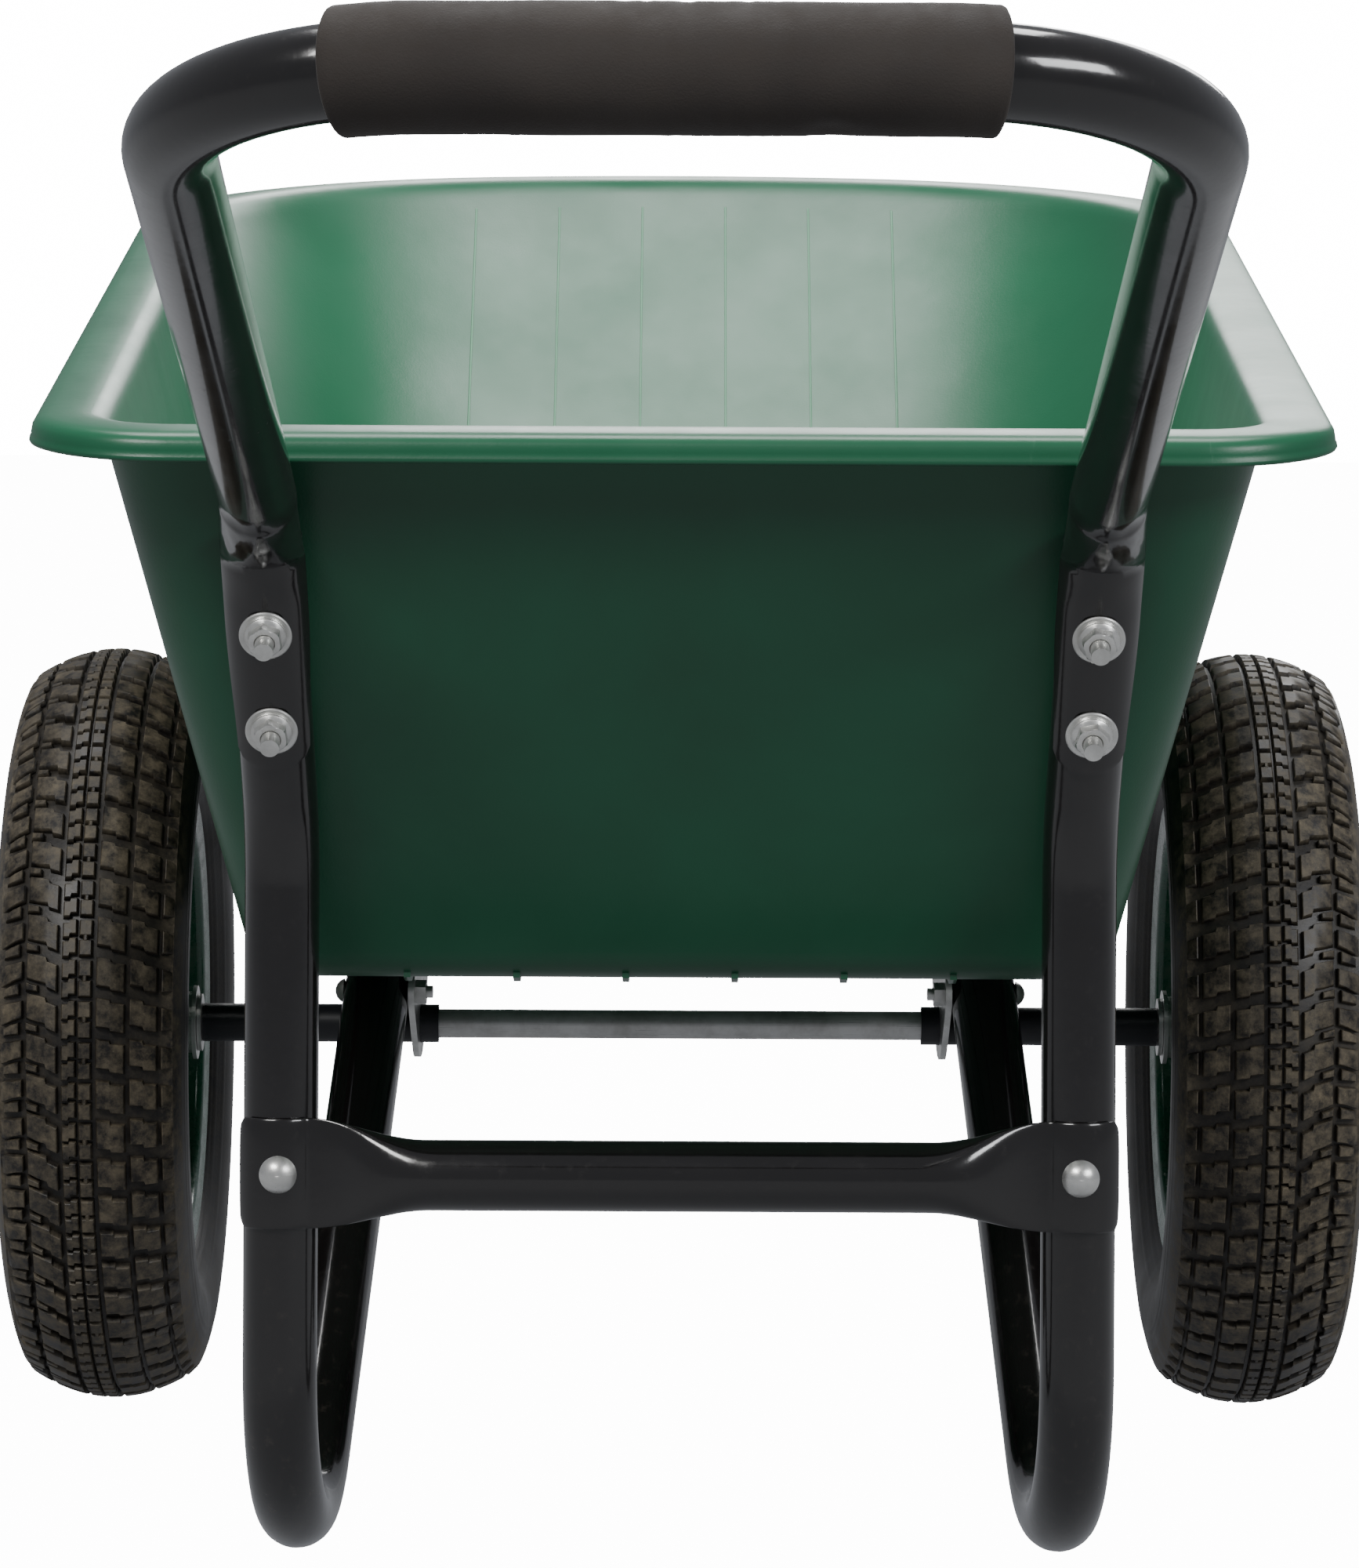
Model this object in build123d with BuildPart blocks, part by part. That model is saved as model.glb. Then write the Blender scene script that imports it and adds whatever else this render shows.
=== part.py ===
from build123d import *
import os
from math import acos, asin, atan2, cos, degrees, hypot, pi, radians, sin, sqrt, tan

os.makedirs("parts", exist_ok=True)

# Two-wheel poly yard cart. Millimetres, +Z up, +Y towards the nose, ground at Z = 0.
# Lengths named ..._y run forward from the axle; world_y turns them into the model's Y.

# tube frame
tube_od = 31.75
tube_wall = 1.5
tube_r = tube_od / 2
leg_half = 170.0            # leg centre to the middle of the cart
leg_ref_y = -385.0          # where leg_half is measured
toe_in = 3.6                # degrees, both rails close in towards the nose
rail_top_z = 451.0
knee_z = 321.0              # bend between upright and leg
leg_lean = 3.5              # degrees, foot further back than the knee
foot_bend = 75.0            # centre-line radius
strut_angle = 35.0          # degrees above the ground
knee_bend = 90.0
axle_bend = 240.0
nose_bend = 60.0
nose_rail_y = 219.0         # bend from floor rail to nose rail
nose_rail_angle = 42.0
nose_rail_length = 105.0

# tray
tray_wall = 4.0
floor_z = 252.0             # underside of the floor
back_lean = 24.0            # degrees from upright
back_y = -394.0             # outside of the back wall at back_z
back_z = 406.0
rim_tilt = 5.0              # the rim rises towards the nose
rim_back_z = 499.5
lip_width = 28.0
lip_drop = 12.0
lip_sheet = 3.2
lip_round = 7.0
top_back_half = 244.0
top_nose_half = 267.0
top_back_radius = 34.0
top_corner_radius = 202.0
top_front_radius = 532.0
top_front_y = 576.0
bottom_back_half = 187.0
bottom_nose_half = 196.0
bottom_back_radius = 34.0
bottom_corner_radius = 130.0
bottom_front_radius = 450.0
bottom_front_y = 226.0
floor_edge_radius = 20.0
floor_edge_chamfer = 7.0    # inside the tray
rib_width = 3.0
rib_depth = 2.5
rib_pitch = 47.5
rib_clear_y = 85.0          # the outer ribs stop short of the rails

# handle
handle_rise = 19.0          # degrees
bar_y = -978.0
bar_z = 642.0
handle_bend = 90.0
saddle_sheet = 3.0
saddle_end_z = 361.0        # lower end of the saddle on the upright
crush_length = 26.0         # where the round tube turns into the saddle
foam_od = 42.6
foam_half = (111.0, 100.0)  # left and right of the middle

# cross brace
brace_od = 30.0
brace_z = 179.0
brace_taper = 52.0

# axle and wheels
axle_z = 183.0              # also the wheels' radius: they stand on the ground
axle_od = 14.0
axle_end = 12.8             # past the cotter pins
sleeve_od = 18.6
sleeve_past_bracket = 8.6
bracket_sheet = 3.0
bracket_lobe = 11.0         # radius round the bolts
bracket_rim = 7.0           # sheet left round the axle sleeve
bracket_bolt_y = (-22.0, 34.0)
wheel_x = 274.5
hub_length = 77.0
hub_od = 30.0
hub_wall = 2.2
bush_flange_od = 36.0
bush_flange = 2.0
bush_length = 12.0
washer_sheet = 2.0
axle_washer_od = 28.0
cotter_wire = 3.2
cotter_eye = 1.4            # eye radius in wire diameters
tyre_od = 366.0
tyre_width = 91.0
shoulder_in = 6.5           # in from the widest point
shoulder_drop = 13.0        # below the tread's middle
bead_depth = 6.0
bead_chamfer = 2.5
tube_sheet = 2.0            # inner tube
tread_thickness = 8.5
sidewall = 7.0
bead_width = 12.0
rim_seat_od = 203.0
rim_inside_width = 63.0
rim_flange = 11.0
rim_sheet = 2.0
rim_fold = 3.0              # bend radius
rim_dish = 16.0             # cone inside the bolt circle
rim_bolt_circle = 124.0
rim_bolt_count = 4
valve_od = 7.5
valve_length = 34.0
cap_length = 10.0

# fasteners
m8 = 8.0
m6 = 6.0
hole_clearance = 0.25       # radial, around every bolt
head_od = 16.0
head_height = 4.5
washer_od = 22.0
washer_thickness = 1.6
nut_width = 13.0
nut_height = 6.5
small_nut_width = 10.0
small_nut_height = 5.0
thread_out = 7.0            # bolt end past the nut
small_thread_out = 3.0
small_head_od = 12.0
sunk_head_od = 14.4
sunk_below = 0.1  # flush head under the floor's face
floor_bolt_y = (134.0, 178.0)
joint_bolt_z = (420.0, 378.4)

# fits
seat_gap = 0.3              # between neighbours that touch
turn_clearance = 0.08       # radial, bush on axle
press_gap = 0.05
plug_wall = 2.0
plug_depth = 14.0

# ---- worked out from the sizes above

front_reach = top_front_y + lip_width
back_reach = -bar_y + foam_od / 2
axle_y = (back_reach - front_reach) / 2


def world_y(y):
    return axle_y + y


toe = radians(toe_in)
lean = radians(leg_lean)
back = radians(back_lean)
rise = radians(handle_rise)
strut = radians(strut_angle)


def rail_x(y):
    return leg_half - (y - leg_ref_y) * tan(toe)


rail_floor_z = floor_z - seat_gap - tube_r


def upright_y(z):
    return back_y - (tube_r + seat_gap) / cos(back) - (z - back_z) * tan(back)


knee_y = upright_y(knee_z)


def leg_y(z):
    return knee_y - (knee_z - z) * tan(lean)


foot_centre_z = tube_r + foot_bend
foot_centre_y = leg_y(foot_centre_z + foot_bend * sin(lean)) + foot_bend * cos(lean)
strut_start_y = foot_centre_y + foot_bend * sin(strut)
strut_start_z = foot_centre_z - foot_bend * cos(strut)
floor_corner_y = strut_start_y + (rail_floor_z - strut_start_z) / tan(strut)
# the leg and strut lines meet below the foot, where the bend is cut in
meet = strut_start_y - strut_start_z / tan(strut) - (knee_y - knee_z * tan(lean))
foot_corner_z = meet / (tan(lean) - 1 / tan(strut))
foot_corner_y = leg_y(foot_corner_z)
nose_end_y = nose_rail_y + nose_rail_length * cos(radians(nose_rail_angle))
nose_end_z = rail_floor_z + nose_rail_length * sin(radians(nose_rail_angle))


def strut_z(y):
    """Height of the strut's centre line, with the bend over the axle."""
    tangent = axle_bend * tan(strut / 2)
    start = floor_corner_y - tangent * cos(strut)
    if y <= start:
        return strut_start_z + (y - strut_start_y) * tan(strut)
    start_z = rail_floor_z - tangent * sin(strut)
    angle = asin(sin(strut) - (y - start) / axle_bend)
    return start_z + axle_bend * (cos(angle) - cos(strut))


hoop = Plane(origin=(rail_x(0), world_y(0), 0), x_dir=(-sin(toe), cos(toe), 0), z_dir=(cos(toe), sin(toe), 0))


def in_hoop(y, z):
    return (y / cos(toe), z)


def on_rail(y, z):
    return Vector(rail_x(y), world_y(y), z)


def mirrored(plane):
    """The same plane on the other side; its sketch Y stays, its sketch X is turned round."""
    origin, x_dir, z_dir = plane.origin, plane.x_dir, plane.z_dir
    return Plane(origin=(-origin.X, origin.Y, origin.Z), x_dir=(x_dir.X, -x_dir.Y, -x_dir.Z),
                 z_dir=(-z_dir.X, z_dir.Y, z_dir.Z))


def round_bar(plane, radius, start, end, mode=Mode.ADD):
    with BuildSketch(plane.offset(start)) as section:
        Circle(radius)
    extrude(section.sketch, amount=end - start, mode=mode)


def ring_bar(plane, radius, bore, start, end):
    with BuildSketch(plane.offset(start)) as section:
        Circle(radius)
        Circle(bore, mode=Mode.SUBTRACT)
    extrude(section.sketch, amount=end - start)


def nut(plane, width, bore, start, end):
    with BuildSketch(plane.offset(start)) as section:
        RegularPolygon(radius=width / 2, side_count=6, major_radius=False)
        Circle(bore, mode=Mode.SUBTRACT)
    extrude(section.sketch, amount=end - start)


def dome_bolt(plane, diameter, head, height, start, end):
    """A round-headed bolt: the head stands on `start`, the shank runs to `end`."""
    round_bar(plane, diameter / 2, start, end)
    cap_radius = (head ** 2 / 4 + height ** 2) / (2 * height)
    section_plane = Plane(origin=plane.offset(start).origin, x_dir=plane.x_dir, z_dir=plane.y_dir)
    with BuildSketch(section_plane) as section:
        with BuildLine():
            rim_point = (head / 2, 0)
            Line((0, 0), rim_point)
            bulge = (cap_radius * sin(asin(head / 2 / cap_radius) / 2),
                     height - cap_radius + cap_radius * cos(asin(head / 2 / cap_radius) / 2))
            ThreePointArc(rim_point, bulge, (0, height))
            Line((0, height), (0, 0))
        make_face()
    revolve(section.sketch, axis=Axis(plane.origin, plane.z_dir))


def sunk_cone(plane, large, small, start, mode=Mode.ADD):
    """A right-angled countersink from radius `large` at `start` down to radius `small`."""
    section_plane = Plane(origin=plane.offset(start).origin, x_dir=plane.x_dir, z_dir=plane.y_dir)
    with BuildSketch(section_plane) as section:
        with BuildLine():
            Polyline((0, 0), (large, 0), (small, small - large), (0, small - large), close=True)
        make_face()
    revolve(section.sketch, axis=Axis(plane.origin, plane.z_dir), mode=mode)


def both_sides(planes):
    return list(planes) + [mirrored(plane) for plane in planes]


# bolt stations, each plane's normal along the bolt
out_back = (0, -cos(back), -sin(back))
joint_planes = [Plane(origin=on_rail(upright_y(z), z), x_dir=(1, 0, 0), z_dir=out_back) for z in joint_bolt_z]
leg_front = (0, cos(lean), -sin(lean))
brace_plane = Plane(origin=on_rail(leg_y(brace_z), brace_z), x_dir=(1, 0, 0), z_dir=leg_front)
floor_planes = [Plane(origin=on_rail(y, rail_floor_z), x_dir=(1, 0, 0), z_dir=(0, 0, -1)) for y in floor_bolt_y]
to_inside = hoop.z_dir * -1
bracket_planes = [Plane(origin=on_rail(y, strut_z(y)), x_dir=(0, 0, 1), z_dir=to_inside) for y in bracket_bolt_y]
axle_plane = Plane(origin=(0, world_y(0), axle_z), x_dir=(0, 1, 0), z_dir=(1, 0, 0))
m8_hole = m8 / 2 + hole_clearance
m6_hole = m6 / 2 + hole_clearance
wall_inside = tube_r + seat_gap + tray_wall
saddle_outside = tube_r + seat_gap + saddle_sheet


# ---- rails

with BuildPart() as right_rail:
    with BuildLine(hoop) as rail_path:
        FilletPolyline(
            in_hoop(upright_y(rail_top_z), rail_top_z),
            in_hoop(knee_y, knee_z),
            in_hoop(foot_corner_y, foot_corner_z),
            in_hoop(floor_corner_y, rail_floor_z),
            in_hoop(nose_rail_y, rail_floor_z),
            in_hoop(nose_end_y, nose_end_z),
            radius=[knee_bend, foot_bend, axle_bend, nose_bend],
        )
    rail_line = rail_path.wires()[0]
    with BuildSketch(Plane(origin=rail_line @ 0, z_dir=rail_line % 0)) as rail_ring:
        Circle(tube_r)
        Circle(tube_r - tube_wall, mode=Mode.SUBTRACT)
    sweep(rail_ring.sketch, path=rail_line)
    for plane in joint_planes + [brace_plane] + floor_planes:
        round_bar(plane, m8_hole, -tube_od, tube_od, mode=Mode.SUBTRACT)
    for plane in bracket_planes:
        round_bar(plane, m6_hole, -tube_od, tube_od, mode=Mode.SUBTRACT)

with BuildPart() as left_rail:
    mirror(right_rail.part, about=Plane.YZ)

with BuildPart() as rail_plugs:
    ends = [Plane(origin=rail_line @ 0, z_dir=(rail_line % 0) * -1), Plane(origin=rail_line @ 1, z_dir=rail_line % 1)]
    for plane in both_sides(ends):
        round_bar(plane, tube_r, 0, plug_wall)
        round_bar(plane, tube_r - tube_wall - seat_gap, -plug_depth, 0)


# ---- tray

def tray_outline(back_at, back_half, back_radius, nose_half, corner_radius, front_at, front_radius, grow=0):
    """Closed plan outline of eight tangent edges, all of it `grow` outside the named sizes."""
    centre_front = front_at - front_radius
    corner_x = nose_half - corner_radius
    corner_y = centre_front + sqrt((front_radius - corner_radius) ** 2 - corner_x ** 2)
    back_x = back_half - back_radius
    back_corner_y = back_at + back_radius
    run = hypot(corner_x - back_x, corner_y - back_corner_y)
    heading = atan2(corner_y - back_corner_y, corner_x - back_x)
    normal = heading - acos((back_radius - corner_radius) / run)
    back_radius += grow
    corner_radius += grow
    front_radius += grow
    side = (cos(normal), sin(normal))
    side_start = (back_x + back_radius * side[0], back_corner_y + back_radius * side[1])
    side_end = (corner_x + corner_radius * side[0], corner_y + corner_radius * side[1])
    tip = atan2(corner_y - centre_front, corner_x)
    nose_start = (front_radius * cos(tip), centre_front + front_radius * sin(tip))
    back_mid = (normal - pi / 2) / 2
    nose_mid = (normal + tip) / 2
    back_arc = (back_x + back_radius * cos(back_mid), back_corner_y + back_radius * sin(back_mid))
    nose_arc = (corner_x + corner_radius * cos(nose_mid), corner_y + corner_radius * sin(nose_mid))
    back_end = (back_x, back_corner_y - back_radius)

    def left(point):
        return (-point[0], point[1])

    with BuildLine() as outline:
        Line(left(back_end), back_end)
        ThreePointArc(back_end, back_arc, side_start)
        Line(side_start, side_end)
        ThreePointArc(side_end, nose_arc, nose_start)
        ThreePointArc(nose_start, (0, centre_front + front_radius), left(nose_start))
        ThreePointArc(left(nose_start), left(nose_arc), left(side_end))
        Line(left(side_end), left(side_start))
        ThreePointArc(left(side_start), left(back_arc), left(back_end))
    return outline.line


rim_back_y = back_y - (rim_back_z - back_z) * tan(back)
rim_stretch = 1 / cos(radians(rim_tilt))
rim_plane = Plane(origin=(0, world_y(rim_back_y), rim_back_z), x_dir=(1, 0, 0),
                  z_dir=(0, -sin(radians(rim_tilt)), cos(radians(rim_tilt))))
floor_back_y = back_y - (floor_z - back_z) * tan(back)
side_slope = (top_back_half - bottom_back_half) / (rim_back_z - floor_z)
front_z = rim_back_z + (top_front_y - rim_back_y) * tan(radians(rim_tilt))
front_slope = (top_front_y - bottom_front_y) / (front_z - floor_z)


def rim_outline(grow, back_in=0, side_in=0, front_in=0):
    return tray_outline(back_in, top_back_half - side_in, top_back_radius - side_in,
                        top_nose_half - side_in, top_corner_radius - side_in,
                        (top_front_y - rim_back_y - front_in) * rim_stretch, top_front_radius - front_in, grow)


def tray_block(inset):
    """The tapered block of the tray's outside, or of its inside where inset is the wall."""
    tilt = radians(rim_tilt)
    front = atan2(1, front_slope)
    back_in = inset / cos(back - tilt)
    side_in = inset * hypot(1, side_slope)
    front_in = inset / sin(front - tilt) * cos(tilt)
    low_back = inset / cos(back) - inset * tan(back)
    low_side = side_in - inset * side_slope
    low_front = inset / sin(front) - inset * front_slope
    with BuildSketch(Plane.XY.offset(floor_z + inset)) as bottom:
        add(tray_outline(world_y(floor_back_y) + low_back, bottom_back_half - low_side,
                         bottom_back_radius - low_side, bottom_nose_half - low_side,
                         bottom_corner_radius - low_side, world_y(bottom_front_y) - low_front,
                         bottom_front_radius - low_front))
        make_face()
    with BuildSketch(rim_plane) as top:
        add(rim_outline(0, back_in, side_in, front_in))
        make_face()
    with BuildPart() as block:
        loft([bottom.sketch.face(), top.sketch.face()], ruled=True)
        floor_edges = block.edges().group_by(Axis.Z)[0]
        if inset > 0:
            chamfer(floor_edges, floor_edge_chamfer)
        else:
            fillet(floor_edges, floor_edge_radius - inset)
    return block.part


def rim_ring(outer, inner, start):
    with BuildSketch(rim_plane.offset(start)) as ring:
        with BuildSketch():
            add(rim_outline(outer))
            make_face()
        with BuildSketch(mode=Mode.SUBTRACT):
            add(rim_outline(inner))
            make_face()
    return ring.sketch


rib_xs = [rib_pitch * (index + 0.5) * side for index in range(3) for side in (-1, 1)]
rib_start_y = world_y(floor_back_y) + floor_edge_radius / 2
rib_top_z = front_z - lip_drop - rib_width

with BuildPart() as ribs:
    for x in rib_xs:
        outermost = abs(x) > 2 * rib_pitch
        rib_end_y = world_y(rib_clear_y if outermost else top_front_y)
        with BuildSketch(Plane.XY.offset(floor_z - rib_depth)) as rib_plan:
            with Locations((x, (rib_start_y + rib_end_y) / 2)):
                Rectangle(rib_width, rib_end_y - rib_start_y)
        extrude(rib_plan.sketch, amount=rib_top_z - floor_z)
    add(tray_block(-rib_depth), mode=Mode.INTERSECT)

with BuildPart() as lip:
    extrude(rim_ring(lip_width, -3 * tray_wall, -tray_wall), amount=tray_wall)
    extrude(rim_ring(lip_width, lip_width - lip_sheet, -lip_drop), amount=lip_drop)
    lip_top = lip.faces().sort_by(Axis(rim_plane.origin, rim_plane.z_dir))[-1]
    fillet(lip_top.outer_wire().edges(), lip_round)

with BuildPart() as tray:
    add(tray_block(0))
    add(ribs.part)
    add(lip.part)
    add(tray_block(tray_wall), mode=Mode.SUBTRACT)
    for plane in both_sides(joint_planes + floor_planes):
        round_bar(plane, m8_hole, -wall_inside - head_height, -tube_r, mode=Mode.SUBTRACT)
    for plane in both_sides(floor_planes):
        hole_mouth = sunk_head_od / 2 + sunk_below + 2 * press_gap
        sunk_cone(plane, hole_mouth + head_height, m8_hole, -wall_inside - head_height, mode=Mode.SUBTRACT)


# ---- handle

handle_half = rail_x(upright_y(sum(joint_bolt_z) / 2))
saddle_mid = tube_r + seat_gap + saddle_sheet / 2
plate_y0 = upright_y(0) - saddle_mid / cos(back)
kink_z = (bar_z - (plate_y0 - bar_y) * tan(rise)) / (1 - tan(back) * tan(rise))
kink_y = plate_y0 - kink_z * tan(back)
handle_plane = Plane(origin=(0, world_y(bar_y), bar_z), x_dir=(1, 0, 0), z_dir=(0, sin(rise), cos(rise)))
side_run = (kink_y - bar_y) / cos(rise)
upright_dir = (on_rail(upright_y(rail_top_z), rail_top_z) - on_rail(knee_y, knee_z)).normalized()
saddle_plane = Plane(origin=on_rail(upright_y(saddle_end_z), saddle_end_z), x_dir=(1, 0, 0), z_dir=upright_dir)
saddle_run = (kink_z - saddle_end_z) / cos(back)

with BuildPart() as handle_loop:
    with BuildLine(handle_plane) as loop_path:
        FilletPolyline(
            (-handle_half, side_run - crush_length),
            (-handle_half, 0),
            (handle_half, 0),
            (handle_half, side_run - crush_length),
            radius=handle_bend,
        )
    loop_line = loop_path.wires()[0]
    with BuildSketch(Plane(origin=loop_line @ 0, z_dir=loop_line % 0)) as loop_ring:
        Circle(tube_r)
        Circle(tube_r - tube_wall, mode=Mode.SUBTRACT)
    sweep(loop_ring.sketch, path=loop_line)
    for side in (1, -1):
        base = saddle_plane if side > 0 else mirrored(saddle_plane)
        tube_end = Plane(origin=handle_plane.from_local_coords((side * handle_half, side_run - crush_length, 0)),
                         x_dir=(1, 0, 0), z_dir=handle_plane.y_dir)
        plate_start = base.offset(saddle_run - crush_length / 2)
        plate_plane = Plane(origin=plate_start.from_local_coords((0, -saddle_mid, 0)),
                            x_dir=(1, 0, 0), z_dir=base.z_dir * -1)
        with BuildSketch(tube_end) as round_end:
            Circle(tube_r)
        with BuildSketch(plate_plane) as flat_end:
            Ellipse(tube_r + saddle_sheet / 2, saddle_sheet)
        loft([round_end.sketch.face(), flat_end.sketch.face()])
        with BuildSketch(base) as saddle:
            Circle(tube_r + seat_gap + saddle_sheet)
            Circle(tube_r + seat_gap, mode=Mode.SUBTRACT)
            with Locations((0, tube_od)):
                Rectangle(2 * tube_od, 2 * tube_od + saddle_sheet, mode=Mode.SUBTRACT)
        extrude(saddle.sketch, amount=saddle_run)
        round_bar(base, tube_r + seat_gap, -seat_gap, saddle_run, mode=Mode.SUBTRACT)
    for plane in both_sides(joint_planes):
        round_bar(plane, m8_hole, 0, 2 * tube_od, mode=Mode.SUBTRACT)

with BuildPart() as foam_grip:
    bar_half = handle_half - handle_bend
    left_wrap, right_wrap = (degrees(asin((half - bar_half) / handle_bend)) for half in foam_half)
    with BuildLine(handle_plane) as foam_path:
        JernArc(start=(-bar_half, 0), tangent=(-1, 0), radius=handle_bend, arc_size=-left_wrap)
        Line((-bar_half, 0), (bar_half, 0))
        JernArc(start=(bar_half, 0), tangent=(1, 0), radius=handle_bend, arc_size=right_wrap)
    foam_line = foam_path.wires()[0]
    with BuildSketch(Plane(origin=foam_line @ 0, z_dir=foam_line % 0)) as foam_ring:
        Circle(foam_od / 2)
        Circle(tube_r + seat_gap, mode=Mode.SUBTRACT)
    sweep(foam_ring.sketch, path=foam_line)


# ---- cross brace

leg_up = (on_rail(leg_y(brace_z + 1), brace_z + 1) - on_rail(leg_y(brace_z), brace_z)).normalized()
brace_height = pi * brace_od / 2
brace_mid = tube_r + seat_gap + saddle_sheet / 2
brace_half = rail_x(leg_y(brace_z))
brace_leg = Plane(origin=on_rail(leg_y(brace_z), brace_z), x_dir=(1, 0, 0), z_dir=leg_up)
brace_tube = Plane(origin=(0, world_y(leg_y(brace_z)) - brace_mid * cos(lean), brace_z + brace_mid * sin(lean)),
                   x_dir=(0, sin(lean), cos(lean)), z_dir=(1, 0, 0))
brace_flat_x = brace_half - tube_r / 2
brace_round_x = brace_half - tube_r - brace_taper

with BuildPart() as cross_brace:
    ring_bar(brace_tube, brace_od / 2, brace_od / 2 - tube_wall, -brace_round_x, brace_round_x)
    for side in (1, -1):
        with BuildSketch(brace_tube.offset(side * brace_round_x)) as round_end:
            Circle(brace_od / 2)
        with BuildSketch(brace_tube.offset(side * brace_flat_x)) as flat_end:
            Ellipse(brace_height / 2, saddle_sheet / 2)
        loft([round_end.sketch.face(), flat_end.sketch.face()])
        base = brace_leg if side > 0 else mirrored(brace_leg)
        with BuildSketch(base.offset(-brace_height / 2)) as saddle:
            Circle(tube_r + seat_gap + saddle_sheet)
            Circle(tube_r + seat_gap, mode=Mode.SUBTRACT)
            with Locations((0, tube_od)):
                Rectangle(2 * tube_od, 2 * tube_od, mode=Mode.SUBTRACT)
        extrude(saddle.sketch, amount=brace_height)
        round_bar(base, tube_r + seat_gap, -brace_height, brace_height, mode=Mode.SUBTRACT)
    for plane in both_sides([brace_plane]):
        round_bar(plane, m8_hole, -2 * tube_od, 0, mode=Mode.SUBTRACT)


# ---- axle, brackets, sleeves

hub_inner_x = wheel_x - hub_length / 2
hub_outer_x = wheel_x + hub_length / 2
washer_inner_x = hub_inner_x - seat_gap - washer_sheet
washer_outer_x = hub_outer_x + seat_gap
cotter_x = washer_outer_x + washer_sheet + seat_gap + cotter_wire / 2
sleeve_bore = axle_od / 2 + seat_gap / 2
bracket_inside = tube_r + seat_gap + bracket_sheet
axle_lobe = sleeve_od / 2 + bracket_rim
axle_half = cotter_x + axle_end
sleeve_inner_x = rail_x(0) - bracket_inside - sleeve_past_bracket

with BuildPart() as axle_rod:
    round_bar(axle_plane, axle_od / 2, -axle_half, axle_half)
    for x in (-cotter_x, cotter_x):
        cross_hole = Plane(origin=(x, world_y(0), axle_z), z_dir=(0, 0, 1))
        round_bar(cross_hole, cotter_wire / 2 + press_gap, -axle_od, axle_od, mode=Mode.SUBTRACT)

with BuildPart() as right_axle_sleeve:
    ring_bar(axle_plane, sleeve_od / 2, sleeve_bore, sleeve_inner_x, washer_inner_x - seat_gap)

with BuildPart() as left_axle_sleeve:
    mirror(right_axle_sleeve.part, about=Plane.YZ)

with BuildPart() as right_axle_bracket:
    with BuildSketch(hoop.offset(-bracket_inside)) as bracket_plate:
        with Locations(in_hoop(0, axle_z)):
            Circle(axle_lobe)
        for y in bracket_bolt_y:
            with Locations(in_hoop(y, strut_z(y))):
                Circle(bracket_lobe)
        make_hull()
    extrude(bracket_plate.sketch, amount=bracket_sheet)
    round_bar(axle_plane, sleeve_od / 2 + seat_gap, 0, axle_half, mode=Mode.SUBTRACT)
    for plane in bracket_planes:
        round_bar(plane, m6_hole, 0, tube_od, mode=Mode.SUBTRACT)

with BuildPart() as left_axle_bracket:
    mirror(right_axle_bracket.part, about=Plane.YZ)

with BuildPart() as axle_washers:
    for x in (washer_inner_x, washer_outer_x):
        ring_bar(axle_plane, axle_washer_od / 2, sleeve_bore, x, x + washer_sheet)
        ring_bar(axle_plane, axle_washer_od / 2, sleeve_bore, -x - washer_sheet, -x)

with BuildPart() as cotter_pins:
    eye_radius = cotter_wire * cotter_eye
    for x in (-cotter_x, cotter_x):
        pin = Plane(origin=(x, world_y(0), axle_z), z_dir=(0, 0, 1))
        eye_z = axle_z + axle_od / 2 + eye_radius + cotter_wire / 2
        round_bar(pin, cotter_wire / 2, -axle_od, axle_od / 2 + cotter_wire / 2)
        with Locations(Plane(origin=(x, world_y(0), eye_z), z_dir=(1, 0, 0))):
            Torus(eye_radius, cotter_wire / 2)


# ---- fasteners on the frame

nut_bore = m8 / 2 + press_gap
small_nut_bore = m6 / 2 + press_gap
joint_nut_at = saddle_outside + washer_thickness
floor_nut_at = tube_r + washer_thickness

with BuildPart() as handle_bolts:
    for plane in both_sides(joint_planes):
        dome_bolt(plane, m8, head_od, head_height, -wall_inside - press_gap, joint_nut_at + nut_height + thread_out)

with BuildPart() as handle_washers:
    for plane in both_sides(joint_planes):
        ring_bar(plane, washer_od / 2, m8_hole, saddle_outside, joint_nut_at)

with BuildPart() as handle_nuts:
    for plane in both_sides(joint_planes):
        nut(plane, nut_width, nut_bore, joint_nut_at, joint_nut_at + nut_height)

with BuildPart() as tray_bolts:
    for plane in both_sides(floor_planes):
        round_bar(plane, m8 / 2, -wall_inside + sunk_below, floor_nut_at + nut_height + thread_out / 2)
        sunk_cone(plane, sunk_head_od / 2, m8 / 2, -wall_inside + sunk_below)

with BuildPart() as tray_washers:
    for plane in both_sides(floor_planes):
        ring_bar(plane, washer_od / 2, m8_hole, tube_r, floor_nut_at)

with BuildPart() as tray_nuts:
    for plane in both_sides(floor_planes):
        nut(plane, nut_width, nut_bore, floor_nut_at, floor_nut_at + nut_height)

with BuildPart() as brace_bolts:
    for plane in both_sides([brace_plane]):
        dome_bolt(plane, m8, head_od, head_height, -saddle_outside, tube_r + nut_height + thread_out)

with BuildPart() as brace_nuts:
    for plane in both_sides([brace_plane]):
        nut(plane, nut_width, nut_bore, tube_r, tube_r + nut_height)

with BuildPart() as bracket_bolts:
    for plane in both_sides(bracket_planes):
        dome_bolt(plane, m6, small_head_od, head_height, -tube_r, bracket_inside + small_nut_height + small_thread_out)

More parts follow.
